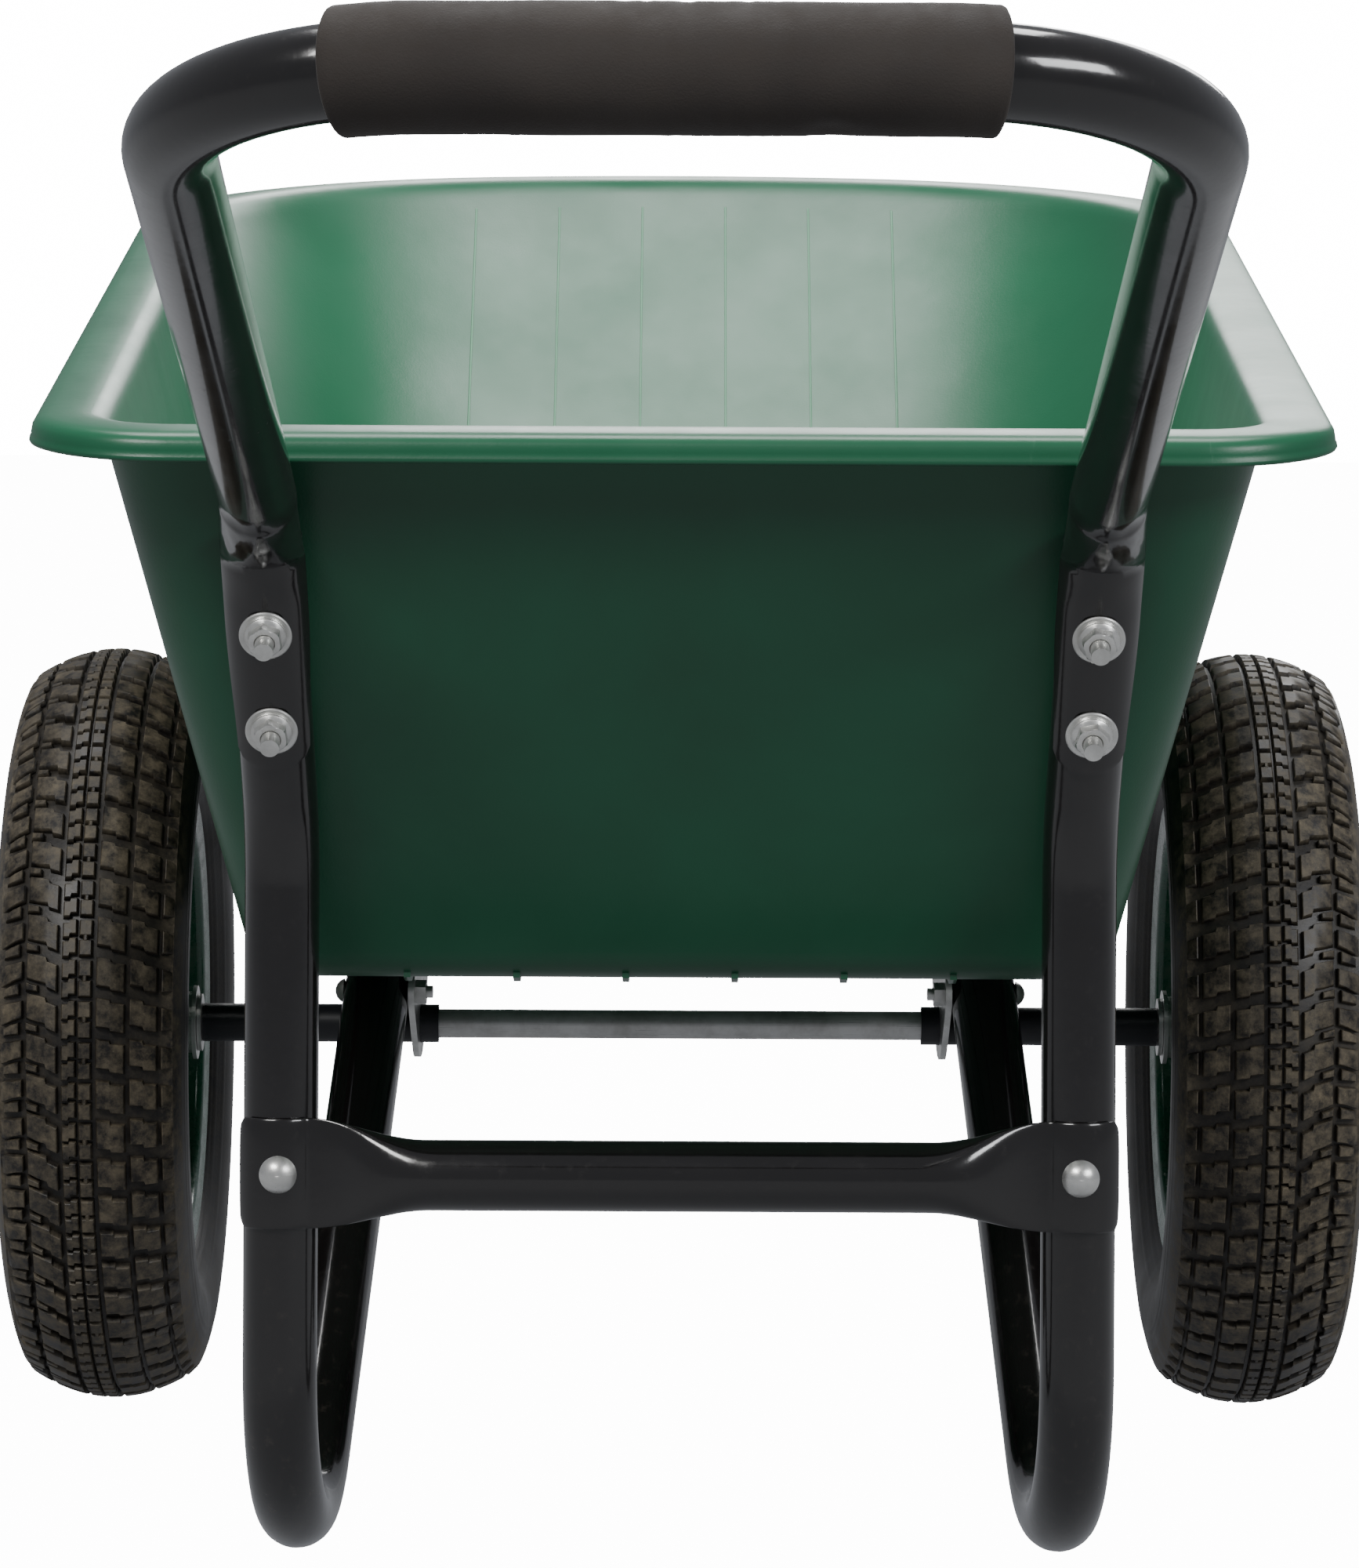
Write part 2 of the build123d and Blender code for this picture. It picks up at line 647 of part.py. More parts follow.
with BuildPart() as bracket_nuts:
    for plane in both_sides(bracket_planes):
        nut(plane, small_nut_width, small_nut_bore, bracket_inside, bracket_inside + small_nut_height)


# ---- right wheel, mirrored for the left

wheel_section = Plane(origin=(wheel_x, world_y(0), axle_z), x_dir=(1, 0, 0), z_dir=(0, -1, 0))
wheel_plane = Plane(origin=(wheel_x, world_y(0), axle_z), x_dir=(0, 1, 0), z_dir=(1, 0, 0))
wheel_axis = Axis((wheel_x, world_y(0), axle_z), (1, 0, 0))
seat_r = rim_seat_od / 2
bead_x = rim_inside_width / 2 - seat_gap
bead_r = seat_r + seat_gap
tyre_r = tyre_od / 2
chafer_r = seat_r + rim_flange + rim_sheet
side_r = seat_r + (tyre_r - seat_r) / 2
shoulder = (tyre_width / 2 - shoulder_in, tyre_r - shoulder_drop)
cavity_top = tyre_r - tread_thickness
cavity_bottom = bead_r + bead_depth
cavity_r = (cavity_top + cavity_bottom) / 2
cavity_b = (cavity_top - cavity_bottom) / 2
cavity_a = tyre_width / 2 - sidewall
bead_opening = 2 * (bead_x - bead_width)
rim_bolt_length = 2 * (rim_sheet + press_gap) + small_nut_height + small_thread_out
stem_x = rim_inside_width / 5
stem_top = cavity_bottom + press_gap
stem_end = stem_top - valve_length

with BuildPart() as right_tyre:
    with BuildSketch(wheel_section) as tyre_section:
        with BuildLine():
            Polyline((-bead_x, chafer_r), (-bead_x, bead_r + bead_chamfer), (-bead_x + bead_chamfer, bead_r),
                     (bead_x - bead_chamfer, bead_r), (bead_x, bead_r + bead_chamfer), (bead_x, chafer_r))
            ThreePointArc((bead_x, chafer_r), (tyre_width / 2, side_r), shoulder)
            ThreePointArc(shoulder, (0, tyre_r), (-shoulder[0], shoulder[1]))
            ThreePointArc((-shoulder[0], shoulder[1]), (-tyre_width / 2, side_r), (-bead_x, chafer_r))
        make_face()
        with Locations((0, cavity_r)):
            Ellipse(cavity_a, cavity_b, mode=Mode.SUBTRACT)
        with Locations((0, cavity_bottom)):
            Rectangle(bead_opening, 2 * (cavity_bottom - seat_r + tube_sheet), mode=Mode.SUBTRACT)
    revolve(tyre_section.sketch, axis=wheel_axis)

with BuildPart() as right_inner_tube:
    with BuildSketch(wheel_section) as tube_section:
        with Locations((0, cavity_r)):
            Ellipse(cavity_a - seat_gap, cavity_b - seat_gap)
            Ellipse(cavity_a - seat_gap - tube_sheet, cavity_b - seat_gap - tube_sheet, mode=Mode.SUBTRACT)
    revolve(tube_section.sketch, axis=wheel_axis)

bolt_angles = [360 / rim_bolt_count * (index + 0.5) for index in range(rim_bolt_count)]
rim_bolt_planes = []
for angle in bolt_angles:
    offset_y = rim_bolt_circle / 2 * cos(radians(angle))
    offset_z = rim_bolt_circle / 2 * sin(radians(angle))
    rim_bolt_planes.append(Plane(origin=(wheel_x, world_y(0) + offset_y, axle_z + offset_z),
                                 x_dir=(0, 1, 0), z_dir=(-1, 0, 0)))
stem_plane = Plane(origin=(wheel_x + stem_x, world_y(0), axle_z), x_dir=(1, 0, 0), z_dir=(0, 0, 1))


def rim_half(side):
    sheet_x = side * (rim_sheet / 2 + press_gap)
    seat_sheet_r = seat_r - rim_sheet / 2
    flange_x = side * (rim_inside_width / 2 + rim_sheet / 2)
    with BuildPart() as half:
        with BuildSketch(wheel_section) as section:
            with BuildLine():
                FilletPolyline(
                    (side * hub_length / 4, hub_od / 2 + press_gap),
                    (sheet_x, rim_bolt_circle / 2 - rim_dish),
                    (sheet_x, seat_sheet_r),
                    (flange_x, seat_sheet_r),
                    (flange_x + side * rim_sheet, seat_r + rim_flange),
                    radius=rim_fold,
                )
            trace(line_width=rim_sheet)
        revolve(section.sketch, axis=wheel_axis)
        # the inner edge is trimmed round to the hub tube
        round_bar(wheel_plane, hub_od / 2 + press_gap, -hub_length, hub_length, mode=Mode.SUBTRACT)
        for plane in rim_bolt_planes:
            round_bar(plane, m6_hole, -tube_od, tube_od, mode=Mode.SUBTRACT)
        if side > 0:
            round_bar(stem_plane, valve_od / 2 + press_gap, stem_end, stem_top, mode=Mode.SUBTRACT)
    return half


right_rim_outer = rim_half(1)
right_rim_inner = rim_half(-1)

with BuildPart() as right_hub:
    hub_half = hub_length / 2 - bush_flange - press_gap
    ring_bar(wheel_plane, hub_od / 2, hub_od / 2 - hub_wall, -hub_half, hub_half)


def bush(side):
    with BuildPart() as piece:
        bore = axle_od / 2 + turn_clearance
        barrel = hub_od / 2 - hub_wall - press_gap
        face = side * hub_length / 2
        ring_bar(wheel_plane, bush_flange_od / 2, bore, face, face - side * bush_flange)
        ring_bar(wheel_plane, barrel, bore, face - side * bush_flange, face - side * (bush_flange + bush_length))
    return piece


right_bush_outer = bush(1)
right_bush_inner = bush(-1)

with BuildPart() as right_rim_bolts:
    for plane in rim_bolt_planes:
        dome_bolt(plane, m6, small_head_od, head_height, -rim_sheet - press_gap, rim_bolt_length - rim_sheet)

with BuildPart() as right_rim_nuts:
    for plane in rim_bolt_planes:
        nut(plane, small_nut_width, small_nut_bore, rim_sheet + press_gap, rim_sheet + press_gap + small_nut_height)

with BuildPart() as right_valve_stem:
    round_bar(stem_plane, valve_od / 2, stem_end, stem_top)

with BuildPart() as right_valve_cap:
    round_bar(stem_plane, valve_od / 2 + 1, stem_end - press_gap - cap_length, stem_end - press_gap)


# ---- write the pieces

pieces = {
    "tray": tray,
    "right_rail": right_rail,
    "left_rail": left_rail,
    "rail_plugs": rail_plugs,
    "handle_loop": handle_loop,
    "foam_grip": foam_grip,
    "cross_brace": cross_brace,
    "axle_rod": axle_rod,
    "right_axle_sleeve": right_axle_sleeve,
    "left_axle_sleeve": left_axle_sleeve,
    "right_axle_bracket": right_axle_bracket,
    "left_axle_bracket": left_axle_bracket,
    "axle_washers": axle_washers,
    "cotter_pins": cotter_pins,
    "handle_bolts": handle_bolts,
    "handle_washers": handle_washers,
    "handle_nuts": handle_nuts,
    "tray_bolts": tray_bolts,
    "tray_washers": tray_washers,
    "tray_nuts": tray_nuts,
    "brace_bolts": brace_bolts,
    "brace_nuts": brace_nuts,
    "bracket_bolts": bracket_bolts,
    "bracket_nuts": bracket_nuts,
}
wheel_pieces = {
    "tyre": right_tyre,
    "inner_tube": right_inner_tube,
    "rim_outer": right_rim_outer,
    "rim_inner": right_rim_inner,
    "hub": right_hub,
    "bush_outer": right_bush_outer,
    "bush_inner": right_bush_inner,
    "rim_bolts": right_rim_bolts,
    "rim_nuts": right_rim_nuts,
    "valve_stem": right_valve_stem,
    "valve_cap": right_valve_cap,
}
for name, piece in wheel_pieces.items():
    pieces["right_" + name] = piece
    with BuildPart() as twin:
        mirror(piece.part, about=Plane.YZ)
    pieces["left_" + name] = twin

for name, piece in pieces.items():
    piece.part.label = name
    export_step(piece.part, f"parts/{name}.step")
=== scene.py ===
from math import asin, atan2, cos, hypot, pi, radians, sin, sqrt, tan

import bmesh
import bpy
import numpy as np
from mathutils import Matrix, Vector, noise
from mathutils.kdtree import KDTree


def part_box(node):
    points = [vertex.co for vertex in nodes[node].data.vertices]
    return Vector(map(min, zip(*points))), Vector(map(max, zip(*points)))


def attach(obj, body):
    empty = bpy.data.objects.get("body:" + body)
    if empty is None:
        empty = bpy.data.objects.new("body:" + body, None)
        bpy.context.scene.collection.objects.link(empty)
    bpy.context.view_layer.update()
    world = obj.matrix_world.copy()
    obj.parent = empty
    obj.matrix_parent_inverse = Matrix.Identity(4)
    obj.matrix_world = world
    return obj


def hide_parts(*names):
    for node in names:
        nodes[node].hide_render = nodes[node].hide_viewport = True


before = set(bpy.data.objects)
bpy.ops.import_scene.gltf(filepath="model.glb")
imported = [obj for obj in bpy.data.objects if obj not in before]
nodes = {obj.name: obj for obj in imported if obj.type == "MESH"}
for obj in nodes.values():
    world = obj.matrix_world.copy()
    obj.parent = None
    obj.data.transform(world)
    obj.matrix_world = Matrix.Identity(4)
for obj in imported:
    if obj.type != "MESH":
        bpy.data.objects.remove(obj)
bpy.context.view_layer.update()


def middle(name):
    low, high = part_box(name)
    return (low + high) / 2


def span(name):
    low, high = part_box(name)
    return high - low


axleY = middle("axle_rod").y
axleZ = middle("axle_rod").z
wheelX = middle("right_tyre").x
tyreRadius = span("right_tyre").z / 2
tyreHalf = span("right_tyre").x / 2
mm = 0.001


class Finish:
    def __init__(self, name, color, roughness, metallic=0.0, **sockets):
        self.material = bpy.data.materials.new(name)
        self.material.use_nodes = True
        self.tree = self.material.node_tree
        self.shader = self.tree.nodes["Principled BSDF"]
        self.shader.inputs["Base Color"].default_value = (*color, 1)
        self.shader.inputs["Roughness"].default_value = roughness
        self.shader.inputs["Metallic"].default_value = metallic
        for socket, value in sockets.items():
            self.shader.inputs[socket.replace("_", " ")].default_value = value
        self.coords = self.tree.nodes.new("ShaderNodeTexCoord").outputs["Object"]
        self.normal = None

    def plug(self, socket, value):
        if isinstance(value, bpy.types.NodeSocket):
            self.tree.links.new(value, socket)
        elif hasattr(value, "__len__"):
            socket.default_value = (*value, 1)
        else:
            socket.default_value = value

    def stretched(self, scale, turn=(0, 0, 0)):
        mapping = self.tree.nodes.new("ShaderNodeMapping")
        mapping.inputs["Scale"].default_value = scale
        mapping.inputs["Rotation"].default_value = turn
        self.tree.links.new(self.coords, mapping.inputs["Vector"])
        return mapping.outputs["Vector"]

    def noise(self, scale, detail=3.0, rough=0.5, distortion=0.0, along=None):
        node = self.tree.nodes.new("ShaderNodeTexNoise")
        node.inputs["Scale"].default_value = scale
        node.inputs["Detail"].default_value = detail
        node.inputs["Roughness"].default_value = rough
        node.inputs["Distortion"].default_value = distortion
        self.tree.links.new(along or self.coords, node.inputs["Vector"])
        return node.outputs["Fac"]

    def cells(self, scale, along=None, color=False):
        node = self.tree.nodes.new("ShaderNodeTexVoronoi")
        node.inputs["Scale"].default_value = scale
        self.tree.links.new(along or self.coords, node.inputs["Vector"])
        return node.outputs["Color" if color else "Distance"]

    def ramp(self, value, *stops):
        node = self.tree.nodes.new("ShaderNodeValToRGB")
        elements = node.color_ramp.elements
        while len(elements) < len(stops):
            elements.new(0.5)
        for element, (place, level) in zip(elements, stops):
            element.position = place
            element.color = (*level, 1) if hasattr(level, "__len__") else (level, level, level, 1)
        self.tree.links.new(value, node.inputs["Fac"])
        return node.outputs["Color"]

    def mix(self, factor, first, second, blend="MIX"):
        node = self.tree.nodes.new("ShaderNodeMix")
        node.data_type = "RGBA"
        node.blend_type = blend
        self.plug(node.inputs[0], factor)
        self.plug(node.inputs[6], first)
        self.plug(node.inputs[7], second)
        return node.outputs[2]

    def math(self, operation, first, second=0.0):
        node = self.tree.nodes.new("ShaderNodeMath")
        node.operation = operation
        self.plug(node.inputs[0], first)
        self.plug(node.inputs[1], second)
        return node.outputs[0]

    def mapped(self, value, low, high, newLow, newHigh):
        node = self.tree.nodes.new("ShaderNodeMapRange")
        self.tree.links.new(value, node.inputs["Value"])
        for socket, number in zip(("From Min", "From Max", "To Min", "To Max"), (low, high, newLow, newHigh)):
            node.inputs[socket].default_value = number
        return node.outputs["Result"]

    def axis(self, letter):
        node = self.tree.nodes.new("ShaderNodeSeparateXYZ")
        self.tree.links.new(self.coords, node.inputs[0])
        return node.outputs[letter]

    def attribute(self, name):
        node = self.tree.nodes.new("ShaderNodeAttribute")
        node.attribute_name = name
        return node.outputs["Fac"]

    def give(self, **links):
        for socket, value in links.items():
            self.tree.links.new(value, self.shader.inputs[socket.replace("_", " ")])

    def bump(self, height, distance, strength=1.0):
        node = self.tree.nodes.new("ShaderNodeBump")
        node.inputs["Strength"].default_value = strength
        node.inputs["Distance"].default_value = distance
        self.tree.links.new(height, node.inputs["Height"])
        if self.normal:
            self.tree.links.new(self.normal, node.inputs["Normal"])
        self.normal = node.outputs["Normal"]
        self.tree.links.new(self.normal, self.shader.inputs["Normal"])


# outside and inside are the same moulded green: outside is darkened as painted shade and inside is lightened
# as painted light; scuff is real wear
polyLook = {"outside": (0.008, 0.060, 0.029), "inside": (0.006, 0.105, 0.045), "scuff": (0.30, 0.46, 0.36)}


def makePoly():
    look = Finish("greenPoly", polyLook["outside"], 0.34, Specular_IOR_Level=0.45)
    # the inside mask blends from painted shade on the outer wall to painted light inside, and it also sets
    # how much real scuffing shows
    inside = look.attribute("inside")
    cloud = look.noise(7, 4, 0.6, 0.4)
    tone = look.mix(inside, polyLook["outside"], polyLook["inside"])
    shade = look.mix(look.mapped(cloud, 0.3, 0.7, 0.0, 0.35), tone, look.mix(0.5, tone, (0.02, 0.16, 0.08)))
    streaks = look.ramp(look.noise(26, 5, 0.7, 0.3, look.stretched((1, 0.16, 0.2), (0.35, 0.2, 0.5))),
                        (0.66, 0.0), (0.80, 1.0))
    patch = look.ramp(look.noise(4.3, 2, 0.5), (0.50, 0.0), (0.66, 1.0))
    worn = look.mapped(inside, 0, 1, 0.05, 0.55)
    scuffs = look.math("MULTIPLY", look.math("MULTIPLY", streaks, patch), worn)
    look.give(Base_Color=look.mix(scuffs, shade, polyLook["scuff"]),
              Roughness=look.math("ADD", look.mapped(look.noise(14, 4, 0.6), 0.2, 0.8, 0.27, 0.42),
                                  look.math("MULTIPLY", scuffs, 0.3)))
    look.bump(look.noise(900, 2, 0.5), 0.00012, 0.35)
    look.bump(look.noise(60, 3, 0.5), 0.0004, 0.25)
    return look.material


def makePaint():
    look = Finish("blackPaint", (0.006, 0.0055, 0.0055), 0.16, Specular_IOR_Level=0.55, Coat_Weight=0.5,
                  Coat_Roughness=0.06)
    cloud = look.noise(24, 4, 0.6)
    dust = look.ramp(look.noise(150, 5, 0.75), (0.56, 0.0), (0.74, 1.0))
    low = look.mapped(look.axis("Z"), 0.02, 0.16, 0.5, 0.04)
    gloss = look.mapped(cloud, 0.3, 0.7, 0.11, 0.22)
    dusty = look.math("MULTIPLY", dust, low)
    look.give(Base_Color=look.mix(dusty, (0.006, 0.0052, 0.0052), (0.06, 0.05, 0.04)),
              Roughness=look.math("ADD", gloss, look.math("MULTIPLY", dust, 0.12)))
    look.bump(look.noise(240, 2, 0.5), 0.0002, 0.25)
    look.bump(look.noise(55, 2, 0.5), 0.0004, 0.12)
    return look.material


def makeFoam():
    look = Finish("foam", (0.045, 0.038, 0.034), 0.85, Specular_IOR_Level=0.25, Sheen_Weight=0.08,
                  Sheen_Roughness=0.4)
    grain = look.noise(900, 4, 0.7)
    cloud = look.noise(20, 4, 0.6)
    faded = look.mapped(cloud, 0.3, 0.7, 0, 1)
    look.give(Base_Color=look.mix(faded, (0.026, 0.022, 0.020), (0.040, 0.034, 0.030)),
              Roughness=look.mapped(look.noise(80, 3, 0.6), 0.3, 0.7, 0.72, 0.92))
    look.bump(grain, 0.0003, 0.5)
    look.bump(look.cells(1400), 0.0002, 0.3)
    return look.material


def makeZinc():
    look = Finish("zincPlate", (0.62, 0.62, 0.60), 0.28, 0.85)
    spangle = look.cells(420, color=True)
    tarnish = look.noise(70, 5, 0.65)
    dull = look.mapped(tarnish, 0.35, 0.7, 0, 0.6)
    look.give(Base_Color=look.mix(dull, (0.70, 0.70, 0.68), (0.36, 0.36, 0.34)),
              Roughness=look.math("ADD", look.mapped(tarnish, 0.3, 0.7, 0.20, 0.38),
                                  look.math("MULTIPLY", spangle, 0.10)))
    look.bump(look.noise(500, 3, 0.6), 0.00008, 0.4)
    return look.material


def makeRodSteel():
    look = Finish("drawnRod", (0.55, 0.55, 0.54), 0.34, 0.6)
    lines = look.noise(60, 3, 0.6, 0, look.stretched((0.5, 40, 40)))
    look.give(Base_Color=look.mix(look.mapped(look.noise(45, 5, 0.7), 0.4, 0.75, 0, 0.7), (0.60, 0.60, 0.59),
                                  (0.28, 0.27, 0.25)),
              Roughness=look.mapped(lines, 0.3, 0.7, 0.26, 0.46))
    look.bump(lines, 0.0001, 0.4)
    return look.material


def makeRubber():
    look = Finish("dustyRubber", (0.02, 0.017, 0.013), 0.55, Specular_IOR_Level=0.4)
    block = look.attribute("blockTop")
    dirt = look.ramp(look.noise(130, 6, 0.75), (0.38, 0.0), (0.66, 1.0))
    patches = look.noise(16, 4, 0.6)
    dusty = look.math("MULTIPLY", dirt, look.mapped(patches, 0.3, 0.7, 0.35, 1.0))
    # the dust colour is full on the block tops and a quarter as strong lower down, so the grooves and block
    # sides stay darker
    onTop = look.math("MULTIPLY", dusty, look.mapped(block, 0, 1, 0.25, 1.0))
    specks = look.ramp(look.noise(520, 3, 0.6), (0.70, 0.0), (0.78, 0.5))
    tone = look.mix(onTop, (0.011, 0.0095, 0.0085), (0.165, 0.135, 0.088))
    look.give(Base_Color=look.mix(look.math("MULTIPLY", specks, onTop), tone, (0.30, 0.26, 0.18)),
              Roughness=look.math("ADD", look.mapped(patches, 0.3, 0.7, 0.34, 0.5),
                                  look.math("MULTIPLY", onTop, 0.28)))
    look.bump(look.noise(700, 3, 0.6), 0.0002, 0.4)
    return look.material


def makeRimPaint():
    look = Finish("greenRim", (0.018, 0.12, 0.065), 0.25, Specular_IOR_Level=0.5, Coat_Weight=0.3)
    dust = look.ramp(look.noise(90, 6, 0.7), (0.45, 0.0), (0.7, 1.0))
    dusty = look.math("MULTIPLY", dust, 0.45)
    look.give(Base_Color=look.mix(dusty, (0.018, 0.12, 0.065), (0.12, 0.15, 0.11)),
              Roughness=look.mapped(dust, 0, 1, 0.2, 0.5))
    look.bump(look.noise(260, 2, 0.5), 0.0002, 0.3)
    return look.material


def makePlastic(name, tone, roughness):
    look = Finish(name, tone, roughness, Specular_IOR_Level=0.45)
    cloud = look.noise(40, 4, 0.6)
    look.give(Roughness=look.mapped(cloud, 0.3, 0.7, roughness - 0.08, roughness + 0.1))
    look.bump(look.noise(1100, 2, 0.5), 0.0001, 0.4)
    return look.material


greenPoly = makePoly()
blackPaint = makePaint()
foamSkin = makeFoam()
zincPlate = makeZinc()
drawnRod = makeRodSteel()
dustyRubber = makeRubber()
rimPaint = makeRimPaint()
blackPlastic = makePlastic("blackPlastic", (0.016, 0.017, 0.021), 0.38)
tubeRubber = makePlastic("tubeRubber", (0.012, 0.012, 0.012), 0.55)
print("materials made")


def newObject(name, mesh, material, smooth=True):
    obj = bpy.data.objects.new(name, mesh)
    bpy.context.scene.collection.objects.link(obj)
    mesh.materials.clear()
    mesh.materials.append(material)
    mesh.polygons.foreach_set("use_smooth", [smooth] * len(mesh.polygons))
    return obj


def place(obj, body, slot, *replaced):
    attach(obj, body)
    if replaced:
        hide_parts(*replaced)
    return obj


def ringMesh(name, rings, closedPath=False, caps=False):
    points = [point for ring in rings for point in ring]
    count = len(rings[0])
    faces = []
    for row in range(len(rings) if closedPath else len(rings) - 1):
        low = row * count
        high = (row + 1) % len(rings) * count
        for index in range(count):
            after = (index + 1) % count
            faces.append((low + index, low + after, high + after, high + index))
    if caps:
        faces.append(tuple(reversed(range(count))))
        faces.append(tuple(range((len(rings) - 1) * count, len(rings) * count)))
    mesh = bpy.data.meshes.new(name)
    mesh.from_pydata([tuple(Vector(point) * mm) for point in points], [], faces)
    outward(mesh)
    return mesh


def outward(mesh):
    work = bmesh.new()
    work.from_mesh(mesh)
    bmesh.ops.remove_doubles(work, verts=work.verts, dist=1e-6)
    bmesh.ops.recalc_face_normals(work, faces=work.faces)
    work.to_mesh(mesh)
    work.free()
    mesh.update()


def mergedMesh(name, meshes):
    work = bmesh.new()
    for mesh in meshes:
        work.from_mesh(mesh)
    result = bpy.data.meshes.new(name)
    work.to_mesh(result)
    work.free()
    return result


def mirroredMesh(mesh):
    copy = mesh.copy()
    copy.transform(Matrix.Scale(-1, 4, (1, 0, 0)))
    copy.flip_normals()
    return copy


def sharpen(obj, angle=35):
    obj.data.set_sharp_from_angle(angle=radians(angle))
    return obj


def filletPath(corners, radii, step=6.0):
    points = [Vector(corners[0])]
    for before, corner, after, radius in zip(corners, corners[1:], corners[2:], radii):
        before, corner, after = Vector(before), Vector(corner), Vector(after)
        inward = (before - corner).normalized()
        onward = (after - corner).normalized()
        turn = pi - inward.angle(onward)
        reach = radius * tan(turn / 2)
        centre = corner + (inward + onward).normalized() * radius / cos(turn / 2)
        start = corner + inward * reach - centre
        axis = start.cross(corner + onward * reach - centre).normalized()
        count = max(4, int(radius * turn / step))
        for index in range(count + 1):
            points.append(centre + Matrix.Rotation(turn * index / count, 3, axis) @ start)
    points.append(Vector(corners[-1]))
    full = [points[0]]
    for point in points[1:]:
        gap = (point - full[-1]).length
        pieces = max(1, int(gap / (step * 3)))
        first = full[-1]
        for index in range(1, pieces + 1):
            full.append(first.lerp(point, index / pieces))
    return full


def sweep(path, section, side):
    rings = []
    for index, point in enumerate(path):
        ahead = path[min(index + 1, len(path) - 1)]
        behind = path[max(index - 1, 0)]
        tangent = (ahead - behind).normalized()
        across = (side - tangent * side.dot(tangent)).normalized()
        up = tangent.cross(across)
        rings.append([point + across * u + up * v for u, v in section(index / (len(path) - 1), point)])
    return rings


def circle(radius, count=48):
    ring = [(radius * cos(2 * pi * k / count), radius * sin(2 * pi * k / count)) for k in range(count)]
    return lambda share, point: ring


def smoothStep(value, low=0.0, high=1.0):
    value = min(1.0, max(0.0, (value - low) / (high - low)))
    return value * value * (3 - 2 * value)


tube = {
    "radius": 15.875, "legHalf": 170.0, "legRefY": -385.0, "toeIn": 3.6, "railTopZ": 451.0, "kneeZ": 321.0,
    "legLean": 3.5, "footBend": 75.0, "strutAngle": 35.0, "kneeBend": 90.0,
    "axleBend": 240.0, "noseBend": 60.0,
    "noseRailY": 219.0, "noseRailAngle": 42.0, "noseRailLength": 105.0, "seatGap": 0.3,
}
back = radians(24.0)
lean = radians(tube["legLean"])
strut = radians(tube["strutAngle"])
toe = radians(tube["toeIn"])
backY = -394.0
backZ = 406.0
floorZ = (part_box("tray")[0].z / mm) + 2.5
axleMm = axleY / mm


def railX(y):
    return tube["legHalf"] - (y - tube["legRefY"]) * tan(toe)


def onRail(y, z, side=1):
    return Vector((side * railX(y), axleMm + y, z))


def uprightY(z):
    return backY - (tube["radius"] + tube["seatGap"]) / cos(back) - (z - backZ) * tan(back)


kneeY = uprightY(tube["kneeZ"])


def legY(z):
    return kneeY - (tube["kneeZ"] - z) * tan(lean)


railFloorZ = floorZ - tube["seatGap"] - tube["radius"]
footZ = tube["radius"] + tube["footBend"]
footY = legY(footZ + tube["footBend"] * sin(lean)) + tube["footBend"] * cos(lean)
strutY = footY + tube["footBend"] * sin(strut)
strutZ = footZ - tube["footBend"] * cos(strut)
floorCornerY = strutY + (railFloorZ - strutZ) / tan(strut)
footCornerZ = strutY - strutZ / tan(strut) - (kneeY - tube["kneeZ"] * tan(lean))
footCornerZ /= tan(lean) - 1 / tan(strut)
noseEndY = tube["noseRailY"] + tube["noseRailLength"] * cos(radians(tube["noseRailAngle"]))
noseEndZ = railFloorZ + tube["noseRailLength"] * sin(radians(tube["noseRailAngle"]))


def makeRails():
    corners = [(uprightY(tube["railTopZ"]), tube["railTopZ"]), (kneeY, tube["kneeZ"]),
               (legY(footCornerZ), footCornerZ), (floorCornerY, railFloorZ),
               (tube["noseRailY"], railFloorZ), (noseEndY, noseEndZ)]
    radii = [tube["kneeBend"], tube["footBend"], tube["axleBend"], tube["noseBend"]]
    path = filletPath([onRail(y, z) for y, z in corners], radii)
    across = Vector((cos(toe), sin(toe), 0))
    mesh = ringMesh("right_rail_tube", sweep(path, circle(tube["radius"]), across), caps=True)
    right = sharpen(newObject("right_rail_tube", mesh, blackPaint))
    left = sharpen(newObject("left_rail_tube", mirroredMesh(mesh), blackPaint))
    place(right, "frame", "black_tube", "right_rail")
    place(left, "frame", "black_tube", "left_rail")


makeRails()
print("rails made")


# a round loop whose ends are pressed into saddles
handle = {
    "rise": 19.0, "barY": -978.0, "barZ": 642.0, "bend": 90.0, "sheet": 3.0, "saddleEndZ": 361.0,
    "boltZ": (420.0, 378.4), "foamRadius": 21.3, "foamHalf": (111.0, 100.0), "wrapTop": 66.0, "wrapEnd": 52.0,
    "crush": 34.0,
}
rise = radians(handle["rise"])
handleHalf = railX(uprightY(sum(handle["boltZ"]) / 2))
saddleOut = tube["radius"] + tube["seatGap"] + handle["sheet"]
plateY0 = uprightY(0) - (saddleOut - handle["sheet"] / 2) / cos(back)
kinkZ = (handle["barZ"] - (plateY0 - handle["barY"]) * tan(rise)) / (1 - tan(back) * tan(rise))
kinkY = plateY0 - kinkZ * tan(back)
sideRun = (kinkY - handle["barY"]) / cos(rise)


def onHandle(x, run):
    return Vector((x, axleMm + handle["barY"] + run * cos(rise), handle["barZ"] - run * sin(rise)))


def saddleSection(wrap, outside, inside, count=48):
    half = count // 2
    points = []
    for k in range(half):
        angle = radians(-90 - wrap + 2 * wrap * k / (half - 1))
        points.append((outside * cos(angle), outside * sin(angle)))
    for k in range(half):
        angle = radians(-90 + wrap - 2 * wrap * k / (half - 1))
        points.append((inside * cos(angle), inside * sin(angle)))
    return points


